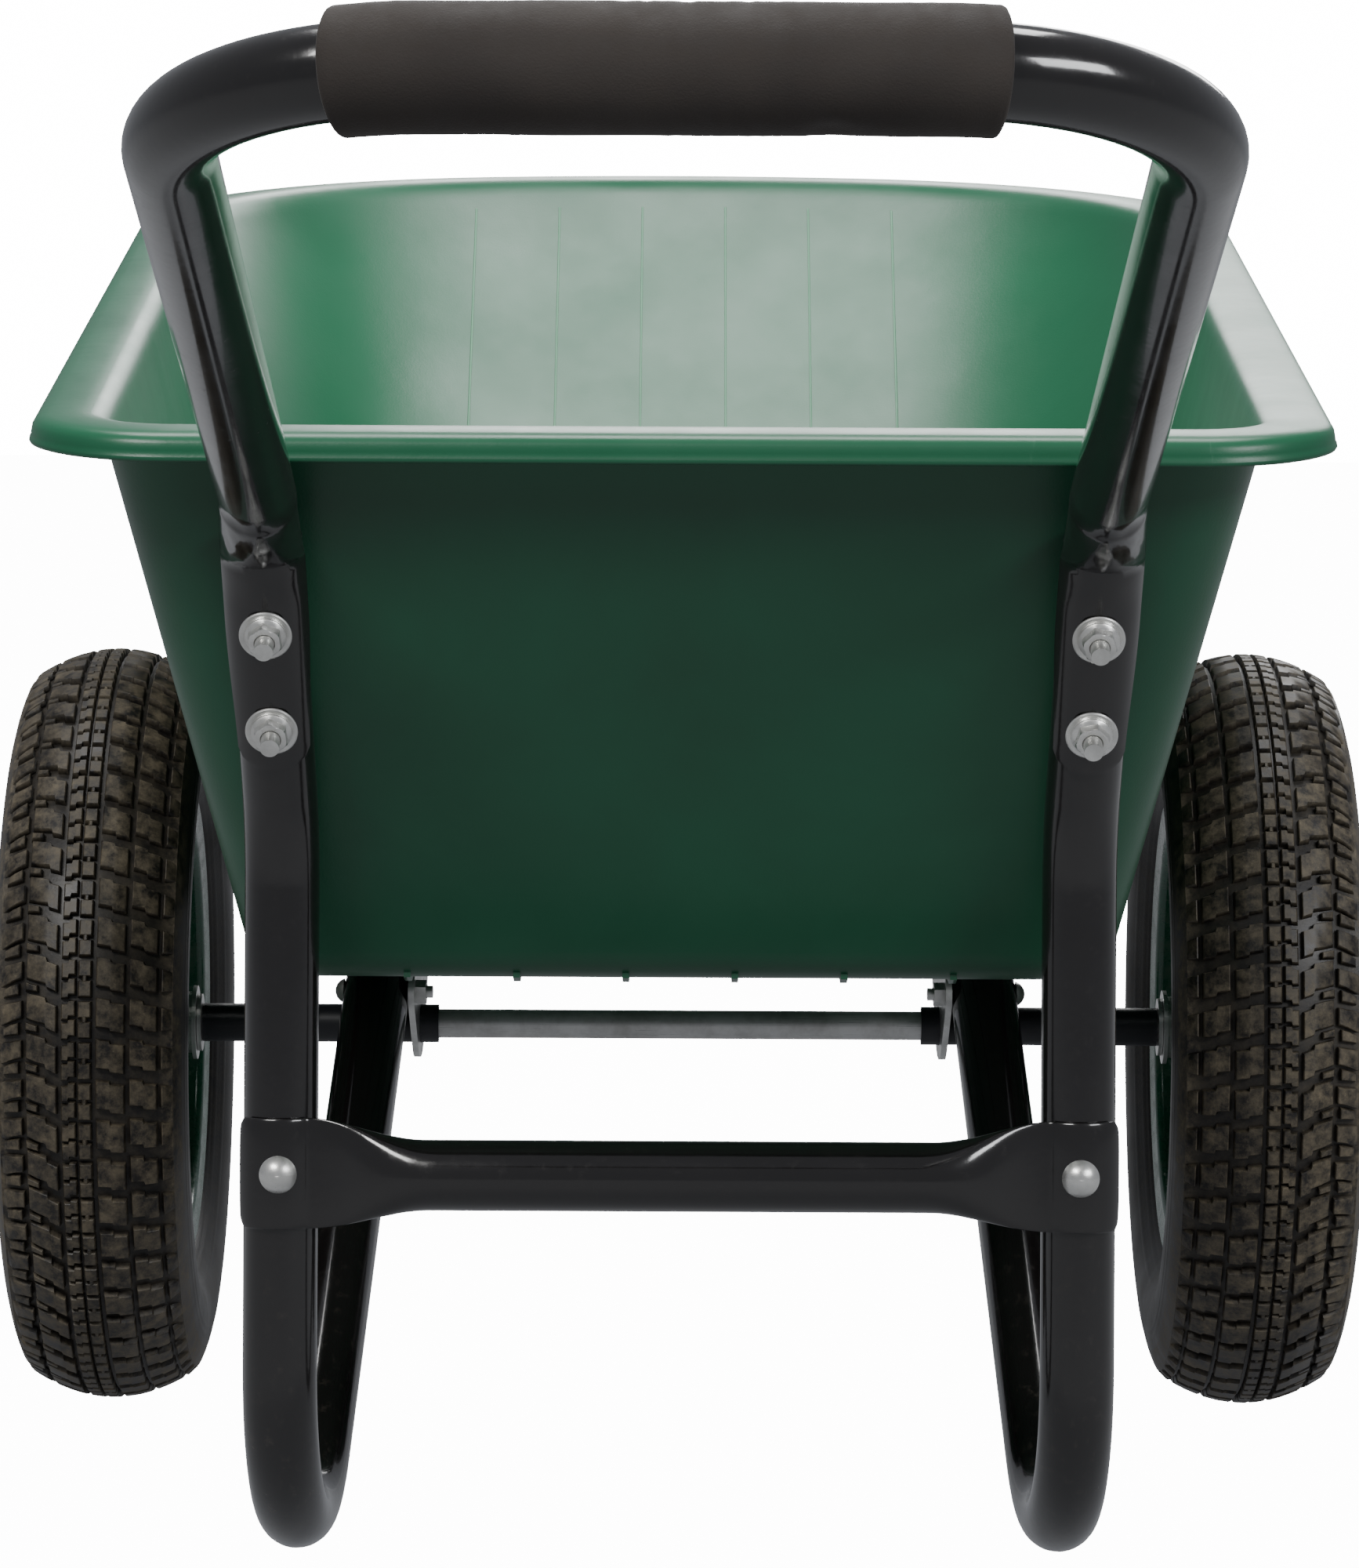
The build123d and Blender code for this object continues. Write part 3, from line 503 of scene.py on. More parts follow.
def roundSection(radius, count=48):
    half = count // 2
    points = []
    for k in range(half):
        angle = radians(-180 + 180 * (k + 0.5) / half)
        points.append((radius * cos(angle), radius * sin(angle)))
    for k in range(half):
        angle = radians(0 + 180 * (k + 0.5) / half)
        points.append((radius * cos(angle), radius * sin(angle)))
    return points


def makeHandle():
    bend = handle["bend"]
    radius = tube["radius"]
    crush = handle["crush"]
    loop = filletPath([onHandle(-handleHalf, sideRun - crush), onHandle(-handleHalf, 0),
                       onHandle(handleHalf, 0), onHandle(handleHalf, sideRun - crush)], [bend, bend])
    lift = Vector((0, sin(rise), cos(rise)))
    rings = []
    for index, point in enumerate(loop):
        ahead = loop[min(index + 1, len(loop) - 1)]
        behind = loop[max(index - 1, 0)]
        tangent = (ahead - behind).normalized()
        across = tangent.cross(lift).normalized()
        rings.append([point + across * u + lift * v for u, v in roundSection(radius)])
    # right-hand end, then mirrored to the left
    down = (onRail(kneeY, tube["kneeZ"]) - onRail(uprightY(tube["railTopZ"]), tube["railTopZ"])).normalized()
    away = Vector((0, -cos(back), -sin(back)))
    across = down.cross(away).normalized()
    if across.x < 0:
        across = -across
    away = (away - down * away.dot(down)).normalized()
    topZ = kinkZ - 13
    tail = []
    steps = 26
    for k in range(steps + 1):
        z = topZ + (handle["saddleEndZ"] - topZ) * k / steps
        centre = onRail(uprightY(z), z)
        wrap = handle["wrapTop"] + (handle["wrapEnd"] - handle["wrapTop"]) * smoothStep(k / steps, 0.3, 0.95)
        endTrim = max(0.0, 1 - (steps - k) / 2.2)
        wrap -= 26 * endTrim ** 2
        shape = saddleSection(wrap, saddleOut, radius + tube["seatGap"])
        puff = 1 - smoothStep(k / steps, 0.0, 0.22)
        ring = []
        for j, (u, v) in enumerate(shape):
            bulge = 1 + 0.12 * puff if j < len(shape) // 2 else 1.0
            ring.append(centre + across * u - away * v * bulge)
        tail.append(ring)
    lastRound = rings[-1]
    morph = []
    blends = 9
    for k in range(1, blends):
        share = k / blends
        ease = smoothStep(share)
        ring = []
        for j, (a, b) in enumerate(zip(lastRound, tail[0])):
            point = a.lerp(b, ease)
            pinch = 4 * share * (1 - share)
            wrinkle = noise.noise(Vector((j * 0.45, k * 0.8, 3.1))) * 1.5 * pinch
            point += away * (2.2 * pinch * (1 if j < len(shape) // 2 else -0.6) + wrinkle)
            ring.append(point)
        morph.append(ring)
    rightEnd = morph + tail
    leftEnd = [[Vector((-point.x, point.y, point.z)) for point in ring] for ring in reversed(rightEnd)]
    mesh = ringMesh("handle_tube", leftEnd + rings + rightEnd, caps=True)
    place(sharpen(newObject("handle_tube", mesh, blackPaint), 50), "frame", "black_tube", "handle_loop")


makeHandle()
print("handle made")


def makeFoamGrip():
    barHalf = handleHalf - handle["bend"]
    lift = Vector((0, sin(rise), cos(rise)))
    leftHalf, rightHalf = handle["foamHalf"]
    outer, inner = handle["foamRadius"], tube["radius"] + tube["seatGap"]
    count, around = 90, 72

    def centre(x):
        over = max(0.0, abs(x) - barHalf)
        wrap = asin(min(0.99, over / handle["bend"]))
        side = 1 if x > 0 else -1
        run = handle["bend"] * (1 - cos(wrap))
        return onHandle(x, run), Vector((cos(wrap), side * sin(wrap) * cos(rise), 0))

    def ringAt(x, radius, wrinkled):
        spot, along = centre(x)
        across = lift.cross(along).normalized()
        ring = []
        for k in range(around):
            angle = 2 * pi * k / around
            grow = 0.0
            if wrinkled:
                fine = noise.noise(Vector((x * 0.42, k * 0.09, 2.0)))
                folds = max(0.0, noise.noise(Vector((x * 0.30, 7.0, k * 0.02))))
                folds *= smoothStep(1 - abs(x - 2) / 42)
                grow = 0.16 * fine - 0.85 * folds * smoothStep(sin(angle) + 0.4)
                grow += 0.35 * noise.noise(Vector((x * 0.03, cos(angle) * 1.2, sin(angle) * 1.2)))
                dent = hypot((x - 46) / 13, (angle - pi * 1.5) / 0.55)
                grow -= 1.7 * smoothStep(1 - dent)
            ring.append(spot + across * (radius + grow) * cos(angle) + lift * (radius + grow) * sin(angle))
        return ring

    rings = []
    for inset, drop in ((0.0, 3.2), (0.0, 1.2), (0.4, 0.4), (1.2, 0.0)):
        rings.append(ringAt(-leftHalf + inset, outer - drop, drop == 0))
    for k in range(1, count):
        rings.append(ringAt(-leftHalf + 1.2 + (leftHalf + rightHalf - 2.4) * k / count, outer, True))
    for inset, drop in ((1.2, 0.0), (0.4, 0.4), (0.0, 1.2), (0.0, 3.2)):
        rings.append(ringAt(rightHalf - inset, outer - drop, drop == 0))
    for k in range(13):
        rings.append(ringAt(rightHalf - (leftHalf + rightHalf) * k / 12, inner, False))
    mesh = ringMesh("foam_grip_sleeve", rings, closedPath=True)
    grip = sharpen(newObject("foam_grip_sleeve", mesh, foamSkin), 60)
    place(grip, "frame", "foam", "foam_grip")


makeFoamGrip()
print("grip made")


# a tube flattened and wrapped round the legs
brace = {
    "radius": 15.0, "z": 179.0, "sheet": 3.0, "height": 23.6, "roundX": 100.0,
    "wrapIn": 42.0, "wrapOut": 62.0,  # degrees of wrap round the leg, inner and outer side
}


def makeBrace():
    legX = railX(legY(brace["z"]))
    middleR = tube["radius"] + tube["seatGap"] + brace["sheet"] / 2
    up = Vector((0, sin(lean), cos(lean)))
    rear = Vector((0, -cos(lean), sin(lean)))
    base = Vector((0, axleMm + legY(brace["z"]), brace["z"]))
    leaveX = legX - middleR * sin(radians(brace["wrapIn"]))
    leaveDepth = middleR * cos(radians(brace["wrapIn"]))
    rings = []
    around = 48

    def ring(centre, outward, tall, thick, power):
        points = []
        for k in range(around):
            c, d = cos(2 * pi * k / around), sin(2 * pi * k / around)
            c = abs(c) ** power * (1 if c >= 0 else -1)
            d = abs(d) ** power * (1 if d >= 0 else -1)
            points.append(centre + outward * thick * c + up * tall * d)
        return points

    for k in range(5):
        x = brace["roundX"] * k / 4
        spot = base + Vector((x, 0, 0)) + rear * middleR
        rings.append(ring(spot, rear, brace["radius"], brace["radius"], 1))
    steps = 22
    for k in range(1, steps):
        share = k / steps
        x = brace["roundX"] + (leaveX - brace["roundX"]) * share
        depth = middleR + (leaveDepth - middleR) * smoothStep(share, 0.35, 1.0)
        flat = smoothStep(share, 0.0, 0.95)
        thick = brace["radius"] + (brace["sheet"] / 2 - brace["radius"]) * flat
        tall = brace["radius"] + (brace["height"] - brace["radius"]) * smoothStep(share, 0.12, 1.0)
        turn = radians(brace["wrapIn"]) * smoothStep(share, 0.55, 1.0)
        outward = rear * cos(turn) - Vector((1, 0, 0)) * sin(turn)
        sink = max(0.0, thick - brace["sheet"] / 2) * flat * 0.5
        spot = base + Vector((x, 0, 0)) + rear * (depth + sink)
        rings.append(ring(spot, outward, tall, thick, 1 - 0.45 * flat))
    turns = 22
    for k in range(turns + 1):
        angle = radians(-brace["wrapIn"] + (brace["wrapIn"] + brace["wrapOut"]) * k / turns)
        outward = rear * cos(angle) + Vector((1, 0, 0)) * sin(angle)
        trim = smoothStep(1 - (turns - k) / 1.6) * 2.2
        centre = base + Vector((legX, 0, 0)) + outward * middleR
        rings.append(ring(centre, outward, brace["height"] - trim, brace["sheet"] / 2, 0.55))
    left = [[Vector((-point.x, point.y, point.z)) for point in ring] for ring in reversed(rings[1:])]
    mesh = ringMesh("brace_tube", left + rings, caps=True)
    place(sharpen(newObject("brace_tube", mesh, blackPaint), 50), "frame", "black_tube", "cross_brace")


makeBrace()
print("brace made")


tray = {
    "wall": 4.0, "backLean": 24.0, "rimTilt": 5.0, "rimBackZ": 499.5,
    "top": {"backHalf": 244.0, "noseHalf": 267.0, "backRadius": 34.0, "cornerRadius": 202.0,
            "frontRadius": 532.0},
    "topFrontY": 576.0,
    "bottom": {"backHalf": 187.0, "noseHalf": 196.0, "backRadius": 34.0, "cornerRadius": 130.0,
               "frontRadius": 450.0},
    "bottomFrontY": 226.0, "floorEdge": 16.0, "ribPitch": 47.5, "ribWidth": 3.0, "ribDepth": 2.3,
}
rimBackY = backY - (tray["rimBackZ"] - backZ) * tan(back)
floorBackY = backY - (floorZ - backZ) * tan(back)
rimTilt = radians(tray["rimTilt"])


def outlinePoints(backAt, frontAt, backHalf, noseHalf, backRadius, cornerRadius, frontRadius):
    centreFront = frontAt - frontRadius
    cornerX = noseHalf - cornerRadius
    cornerY = centreFront + sqrt((frontRadius - cornerRadius) ** 2 - cornerX ** 2)
    backX, backCornerY = backHalf - backRadius, backAt + backRadius
    run = hypot(cornerX - backX, cornerY - backCornerY)
    heading = atan2(cornerY - backCornerY, cornerX - backX)
    normal = heading - np.arccos((backRadius - cornerRadius) / run)
    tip = atan2(cornerY - centreFront, cornerX)
    points = []

    def arc(x, y, radius, start, end, count):
        for k in range(count):
            angle = start + (end - start) * k / count
            points.append(Vector((x + radius * cos(angle), y + radius * sin(angle))))

    for k in range(10):
        points.append(Vector((backX * k / 10, backAt)))
    arc(backX, backCornerY, backRadius, -pi / 2, normal, 14)
    start = Vector((backX + backRadius * cos(normal), backCornerY + backRadius * sin(normal)))
    end = Vector((cornerX + cornerRadius * cos(normal), cornerY + cornerRadius * sin(normal)))
    for k in range(14):
        points.append(start.lerp(end, k / 14))
    arc(cornerX, cornerY, cornerRadius, normal, tip, 20)
    arc(0, centreFront, frontRadius, tip, pi / 2, 14)
    points.append(Vector((0, frontAt)))
    rest = [Vector((-point.x, point.y)) for point in reversed(points[1:-1])]
    return points + rest


def makeTray():
    low = outlinePoints(axleMm + floorBackY, axleMm + tray["bottomFrontY"], **tray["bottom"])
    stretch = 1 / cos(rimTilt)
    high = outlinePoints(0, (tray["topFrontY"] - rimBackY) * stretch, **tray["top"])
    inPlane = Vector((0, cos(rimTilt), sin(rimTilt)))
    planeUp = Vector((0, -sin(rimTilt), cos(rimTilt)))
    corner = Vector((0, axleMm + rimBackY, tray["rimBackZ"]))
    count = len(low)
    bottom = [Vector((p.x, p.y, floorZ)) for p in low]
    rim = [corner + Vector((p.x, 0, 0)) + inPlane * p.y for p in high]
    outs, walls = [], []
    for k in range(count):
        ahead, behind = high[(k + 1) % count], high[k - 1]
        along = (ahead - behind).normalized()
        outs.append(Vector((along.y, 0, 0)) - inPlane * along.x)
        upWall = (rim[k] - bottom[k]).normalized()
        tangent = (bottom[(k + 1) % count] - bottom[k - 1]).normalized()
        walls.append((upWall, tangent.cross(upWall).normalized()))
    edge = tray["floorEdge"]
    wall = tray["wall"]

    def inPlan(k, amount):
        along = (low[(k + 1) % count] - low[k - 1]).normalized()
        return Vector((-along.y, along.x, 0)) * amount

    def filletRing(share, inside):
        ring = []
        for k in range(count):
            upWall, normal = walls[k]
            offset = wall if inside else 0.0
            reach = edge - offset * 0.8
            knee = bottom[k] - normal * offset * 1.0
            knee = knee + upWall * ((floorZ + offset - knee.z) / upWall.z)
            a, c = knee + inPlan(k, reach), knee + upWall * reach
            ring.append(a * (1 - share) ** 2 + knee * 2 * share * (1 - share) + c * share ** 2)
        return ring

    def wallRing(share, inside):
        first, last = filletRing(1.0, inside), lipRing(-4.0 if inside else 0.0, -10.0)
        return [a.lerp(b, share) for a, b in zip(first, last)]

    def lipRing(outward, rise):
        ring = []
        for k in range(count):
            upWall = walls[k][0] / walls[k][0].dot(planeUp)
            follow = 1 - smoothStep(outward, 0.5, 7.0)
            direction = upWall * follow + planeUp * (1 - follow) if rise < 0 else planeUp
            ring.append(rim[k] + outs[k] * outward + direction * rise)
        return ring

    outerLip = [(0.0, -10.0), (0.7, -7.4), (2.2, -5.6), (5.0, -4.5), (9.0, -4.2), (15.0, -4.1), (20.5, -4.3),
                (23.2, -5.2), (24.5, -7.2), (24.8, -9.6), (24.9, -11.2), (25.6, -12.0), (27.0, -12.2),
                (28.2, -11.8), (28.7, -10.9), (28.5, -9.9), (27.9, -9.2), (27.8, -7.4), (27.3, -4.6),
                (25.8, -2.3), (23.2, -0.8),
                (19.5, -0.2), (14.0, 0.2), (8.0, 0.25), (3.0, 0.0), (0.0, -0.6), (-2.2, -2.0), (-3.5, -4.4),
                (-4.0, -7.4), (-4.0, -10.0)]
    rings = [filletRing(k / 7, False) for k in range(8)]
    rings += [wallRing(k / 9, False) for k in range(1, 9)]
    rings += [lipRing(outward, rise) for outward, rise in outerLip]
    lipEnd = len(rings)
    rings += [wallRing(1 - k / 9, True) for k in range(1, 9)]
    rings += [filletRing(1 - k / 7, True) for k in range(8)]
    mesh = ringMesh("tray_shell", rings, caps=True)
    inside = mesh.attributes.new("inside", "FLOAT", "POINT")
    rows = KDTree(len(rings) * count)
    for index, point in enumerate(point for ring in rings for point in ring):
        rows.insert(point * mm, index)
    rows.balance()

    # level is the painted light mask: outer fillet and wall 0 as painted shade, lip underside 0.35, lip outer
    # face and top 0.7, inner wall and floor 1.0 as painted light; it also scales the real scuffs
    def level(row):
        if row >= lipEnd:
            return 1.0
        if row >= lipEnd - 14:
            return 0.7
        return 0.35 if row >= 16 else 0.0

    inside.data.foreach_set("value", [level(rows.find(vertex.co)[1] // count) for vertex in mesh.vertices])
    shell = sharpen(newObject("tray_shell", mesh, greenPoly), 55)
    place(shell, "frame", "green_poly", "tray")
    return walls, bottom, rim, filletRing, lipRing


trayWalls = makeTray()
print("tray made")


def socketId(tree, name):
    items = tree.interface.items_tree
    return next(item.identifier for item in items if item.name == name and item.in_out == "INPUT")


def newTree(name, **inputs):
    tree = bpy.data.node_groups.new(name, "GeometryNodeTree")
    tree.interface.new_socket("Geometry", in_out="INPUT", socket_type="NodeSocketGeometry")
    tree.interface.new_socket("Geometry", in_out="OUTPUT", socket_type="NodeSocketGeometry")
    for label, kind in inputs.items():
        tree.interface.new_socket(label, in_out="INPUT", socket_type="NodeSocket" + kind)
    return tree


def addNode(tree, kind, links=(), **settings):
    node = tree.nodes.new(kind)
    for key, value in settings.items():
        setattr(node, key, value)
    for socket, source in dict(links).items():
        if isinstance(source, bpy.types.NodeSocket):
            tree.links.new(source, node.inputs[socket])
        else:
            node.inputs[socket].default_value = source
    return node


def finishTree(tree, geometry):
    real = addNode(tree, "GeometryNodeRealizeInstances", {"Geometry": geometry})
    paint = addNode(tree, "GeometryNodeSetMaterial", {"Geometry": real.outputs[0],
                                                      "Material": treeInput(tree, "Finish")})
    end = tree.nodes.new("NodeGroupOutput")
    tree.links.new(paint.outputs[0], end.inputs[0])


def treeInput(tree, name):
    start = next((node for node in tree.nodes if node.bl_idname == "NodeGroupInput"), None)
    start = start or tree.nodes.new("NodeGroupInput")
    return start.outputs[name]


def grown(name, source, tree, **values):
    modifier = source.modifiers.new("grow", "NODES")
    modifier.node_group = tree
    for label, value in values.items():
        modifier[socketId(tree, label)] = value
    bpy.context.view_layer.update()
    graph = bpy.context.evaluated_depsgraph_get()
    mesh = bpy.data.meshes.new_from_object(source.evaluated_get(graph))
    source.modifiers.remove(modifier)
    bpy.data.objects.remove(source)
    mesh.name = name
    result = bpy.data.objects.new(name, mesh)
    bpy.context.scene.collection.objects.link(result)
    return result


def strandTree():
    tree = newTree("strandsAlong", Width="Float", Height="Float", Finish="Material")
    line = addNode(tree, "GeometryNodeMeshToCurve", {"Mesh": treeInput(tree, "Geometry")})
    profile = addNode(tree, "GeometryNodeCurvePrimitiveQuadrilateral",
                      {"Width": treeInput(tree, "Width"), "Height": treeInput(tree, "Height")})
    solid = addNode(tree, "GeometryNodeCurveToMesh",
                    {"Curve": line.outputs[0], "Profile Curve": profile.outputs[0], "Fill Caps": True})
    finishTree(tree, solid.outputs[0])
    return tree


def guideLines(name, lines):
    points, edges = [], []
    for line in lines:
        edges += [(len(points) + k, len(points) + k + 1) for k in range(len(line) - 1)]
        points += [tuple(point * mm) for point in line]
    mesh = bpy.data.meshes.new(name)
    mesh.from_pydata(points, edges, [])
    obj = bpy.data.objects.new(name, mesh)
    bpy.context.scene.collection.objects.link(obj)
    return obj


# ribs under the floor and up the nose, and their witness lines inside, coloured pale as a painted highlight
def makeRibs():
    strands = strandTree()
    walls, bottom, rim, filletRing, lipRing = trayWalls
    outerEnd, outerTop = filletRing(1.0, False), lipRing(0.0, -10.0)
    outerMid, outerStart = filletRing(0.5, False), filletRing(0.0, False)
    innerEnd, innerTop = filletRing(1.0, True), lipRing(-4.0, -10.0)
    innerMid = filletRing(0.5, True)

    def crossing(ring, x, front):
        best = None
        for a, b in zip(ring, ring[1:] + ring[:1]):
            if (a.x - x) * (b.x - x) <= 0 and abs(a.x - b.x) > 1e-6:
                point = a.lerp(b, (x - a.x) / (b.x - a.x))
                if best is None or (point.y > best.y) == front:
                    best = point
        return best

    under, inside = [], []
    for x in [tray["ribPitch"] * (k + 0.5) * side for k in range(3) for side in (-1, 1)]:
        outermost = abs(x) > 2 * tray["ribPitch"]
        rear = [crossing(ring, x, False) for ring in (outerMid, outerStart)]
        nose = [crossing(ring, x, True) for ring in (outerStart, outerMid, outerEnd, outerTop)]
        if outermost:
            under.append(rear + [rear[1] + Vector((0, axleMm + 85 - rear[1].y, 0))])
        else:
            under.append(rear + nose)
        line = [crossing(ring, x, True) for ring in (innerMid, innerEnd, innerTop)]
        inside.append([line[0], line[1], line[1].lerp(line[2], 0.985)])
    ribs = grown("tray_ribs", guideLines("ribGuides", under), strands,
                 Width=tray["ribWidth"] * mm, Height=2 * tray["ribDepth"] * mm, Finish=greenPoly)
    place(ribs, "frame", "green_poly")
    lines = grown("tray_witness_lines", guideLines("witnessGuides", inside), strands,
                  Width=1.1 * mm, Height=0.9 * mm, Finish=ribLineHighlightPoly)
    place(lines, "frame", "green_poly")


# pale green for the witness lines is a painted highlight, the same plastic shown lit along each ridge
ribLineHighlightPoly = makePlastic("ribLineHighlightPoly", (0.12, 0.30, 0.18), 0.45)
makeRibs()
print("ribs made")


tyre = {
    "tread": 39.0, "crown": 13.0, "groove": 3.4, "pitches": 60, "around": 180, "seat": 101.8,
    "ringHeight": 0.45, "rings": (152.5, 148.5, 127.0, 121.5, 118.5),
}
tyreMm = tyreRadius / mm
tyreHalfMm = tyreHalf / mm


def treadTop(x):
    return tyreMm - tyre["crown"] * (x / tyre["tread"]) ** 2


def sideX(radius):
    low, wide, high = 114.0, 142.0, tyreMm - tyre["crown"]
    if radius >= wide:
        share = (radius - wide) / (high - wide)
        return tyreHalfMm - 6.5 * share ** 2.2
    share = (wide - radius) / (wide - low)
    return tyreHalfMm - 13.2 * share ** 2


def carcassProfile():
    points = []
    low = 114.0
    steps = 52
    top = tyreMm - tyre["crown"] - 2.6
    side = []
    for k in range(steps + 1):
        radius = low + (top - low) * k / steps
        ridge = sum(max(0.0, 1 - abs(radius - place) / 0.8) for place in tyre["rings"]) * tyre["ringHeight"]
        side.append((sideX(radius) + ridge - 0.4, radius))
    crown = []
    for k in range(1, 20):
        x = 37.5 - 75.0 * k / 20
        crown.append((x, treadTop(x) - tyre["groove"]))
    seat = tyre["seat"]
    bead = [(19.5, 108.0), (19.2, 102.4), (20.0, seat), (28.6, seat), (30.9, 104.4), (31.2, 109.5)]
    right = bead + side
    left = [(-x, radius) for x, radius in reversed(right)]
    arch = [(-36.5 * cos(pi * k / 14), 140.0 + 33.0 * sin(pi * k / 14)) for k in range(15)]
    return right + crown + left + [(-27.0, 118.0)] + arch + [(27.0, 118.0)]


def revolved(name, profile, count):
    rings = []
    for k in range(count):
        angle = 2 * pi * k / count
        rings.append([Vector((x, radius * cos(angle), radius * sin(angle))) for x, radius in profile])
    return ringMesh(name, rings, closedPath=True)


def blockMesh(columns, base, foot=0.5, edge=0.4):
    levels = []
    for grow, drop in ((foot, base), (0.0, edge), (-edge, 0.0)):
        ring = []
        lows = [(x, low - grow) for x, low, high in columns]
        highs = [(x, high + grow) for x, low, high in columns]
        for index, (x, s) in enumerate(lows + highs[::-1]):
            spot = min(index, 2 * len(columns) - 1 - index)
            if spot == 0:
                x -= grow
            elif spot == len(columns) - 1:
                x += grow
            ring.append((x, s, drop))
        levels.append(ring)
    points = []
    for ring in levels:
        for x, s, drop in ring:
            radius = carcassTop(x) - drop
            angle = s / tyreMm
            points.append((x, radius * cos(angle), radius * sin(angle)))
    size = 2 * len(columns)
    faces = []
    for level in range(2):
        for k in range(size):
            after = (k + 1) % size
            faces.append((level * size + k, level * size + after, (level + 1) * size + after,
                          (level + 1) * size + k))
    top = 2 * size
    for k in range(len(columns) - 1):
        faces.append((top + k, top + k + 1, top + size - 2 - k, top + size - 1 - k))
    return points, faces


def carcassTop(x):
    if abs(x) <= tyre["tread"]:
        return treadTop(x)
    over = abs(x) - tyre["tread"]
    return treadTop(tyre["tread"]) - over * 2.9


def treadPitch():
    groove = tyre["groove"]
    blocks = [
        # outer shoulder lug, slanting down the sidewall
        ([(29.0, 0.6, 8.6), (33.0, 1.4, 9.8), (37.5, 2.2, 11.8), (40.5, 3.4, 13.0), (42.6, 5.0, 13.4)],
         groove - 0.6),
        ([(30.5, 11.2, 16.4), (34.5, 12.4, 17.0), (37.5, 14.0, 17.6)], groove),
        # large slanted blocks
        ([(12.4, 3.2, 15.4), (17.0, 1.4, 13.6), (17.6, -0.8, 11.4), (22.0, -2.0, 10.2), (26.4, -3.2, 8.6)],
         groove),
        ([(21.5, 12.6, 15.2), (26.8, 11.0, 14.4)], groove - 0.4),
        # notched centre ribs
        ([(3.6, 0.8, 7.6), (6.6, 0.8, 7.6), (7.0, 2.4, 9.2), (9.8, 2.4, 9.2)], groove),
        ([(3.6, 9.6, 16.8), (6.6, 9.6, 16.8), (7.0, 11.2, 18.4), (9.8, 11.2, 18.4)], groove),
        ([(-3.6, 1.2, 8.4), (2.0, 1.2, 8.4)], groove),
        ([(-3.6, 10.6, 17.8), (2.0, 10.6, 17.8)], groove),
        ([(-1.6, 8.0, 11.0), (0.2, 8.0, 11.0)], groove - 1.4),
        # inner row of squarer blocks
        ([(-18.6, 2.4, 15.6), (-12.6, 1.6, 14.8), (-12.2, 0.2, 13.4), (-6.2, -0.6, 12.6)], groove),
        # inner shoulder blocks and lug
        ([(-33.0, 3.0, 15.0), (-27.6, 2.2, 14.4), (-27.0, 0.4, 12.6), (-21.4, -0.4, 11.8)], groove),
        ([(-42.6, 5.6, 13.2), (-39.6, 4.4, 14.0), (-35.4, 3.6, 14.6)], groove - 0.8),
    ]
    points, faces = [], []
    for columns, base in blocks:
        if columns[0][0] > columns[-1][0]:
            columns = columns[::-1]
        made, cells = blockMesh(columns, base)
        faces += [tuple(index + len(points) for index in cell) for cell in cells]
        points += made
    mesh = bpy.data.meshes.new("treadPitch")
    mesh.from_pydata([tuple(Vector(point) * mm) for point in points], [], faces)
    outward(mesh)
    return mesh


def spinTree():
    tree = newTree("repeatedRound", Count="Int", Finish="Material")
    count = treeInput(tree, "Count")
    spots = addNode(tree, "GeometryNodeMeshLine", {"Count": count, "Offset": (0, 0, 0)})
    index = addNode(tree, "GeometryNodeInputIndex")
    turn = addNode(tree, "ShaderNodeMath", operation="DIVIDE")
    tree.links.new(index.outputs[0], turn.inputs[0])
    tree.links.new(count, turn.inputs[1])
    full = addNode(tree, "ShaderNodeMath", {0: turn.outputs[0], 1: 2 * pi}, operation="MULTIPLY")
    euler = addNode(tree, "ShaderNodeCombineXYZ", {"X": full.outputs[0]})
    copies = addNode(tree, "GeometryNodeInstanceOnPoints",
                     {"Points": spots.outputs[0], "Instance": treeInput(tree, "Geometry"),
                      "Rotation": euler.outputs[0]})
    finishTree(tree, copies.outputs[0])
    return tree


def markTop(mesh):
    level = mesh.attributes.new("blockTop", "FLOAT", "POINT")
    values = []
    for vertex in mesh.vertices:
        x = vertex.co.x / mm
        radius = hypot(vertex.co.y, vertex.co.z) / mm
        depth = carcassTop(x) - radius
        values.append(smoothStep(1 - depth / 2.6) if radius > 158 else 0.0)
    level.data.foreach_set("value", values)


def atWheel(mesh, side):
    result = mesh.copy()
    if side < 0:
        result.transform(Matrix.Scale(-1, 4, (1, 0, 0)))
        result.flip_normals()
    result.transform(Matrix.Translation((side * wheelX, axleY, axleZ)))
    return result


def makeTyres():
    carcass = revolved("carcass", carcassProfile(), tyre["around"])
    seed = bpy.data.objects.new("treadSeed", treadPitch())
    bpy.context.scene.collection.objects.link(seed)
    tread = grown("tread", seed, spinTree(), Count=tyre["pitches"], Finish=dustyRubber)
    whole = mergedMesh("tyre", [carcass, tread.data])
    bpy.data.objects.remove(tread)
    markTop(whole)
    for side, name in ((1, "right"), (-1, "left")):
        obj = sharpen(newObject(f"{name}_tyre_rubber", atWheel(whole, side), dustyRubber), 40)
        place(obj, f"{name}_wheel", "tyre", f"{name}_tyre")


makeTyres()
print("tyres made")


# the handle joints' dished washers, flange nuts and threaded ends
fastener = {
    "washer": 11.0, "hole": 4.25, "washerEdge": 0.5, "flange": 8.6, "hex": 6.5,
    "bolt": 4.0, "threadOut": 7.0, "pitch": 1.25,
}


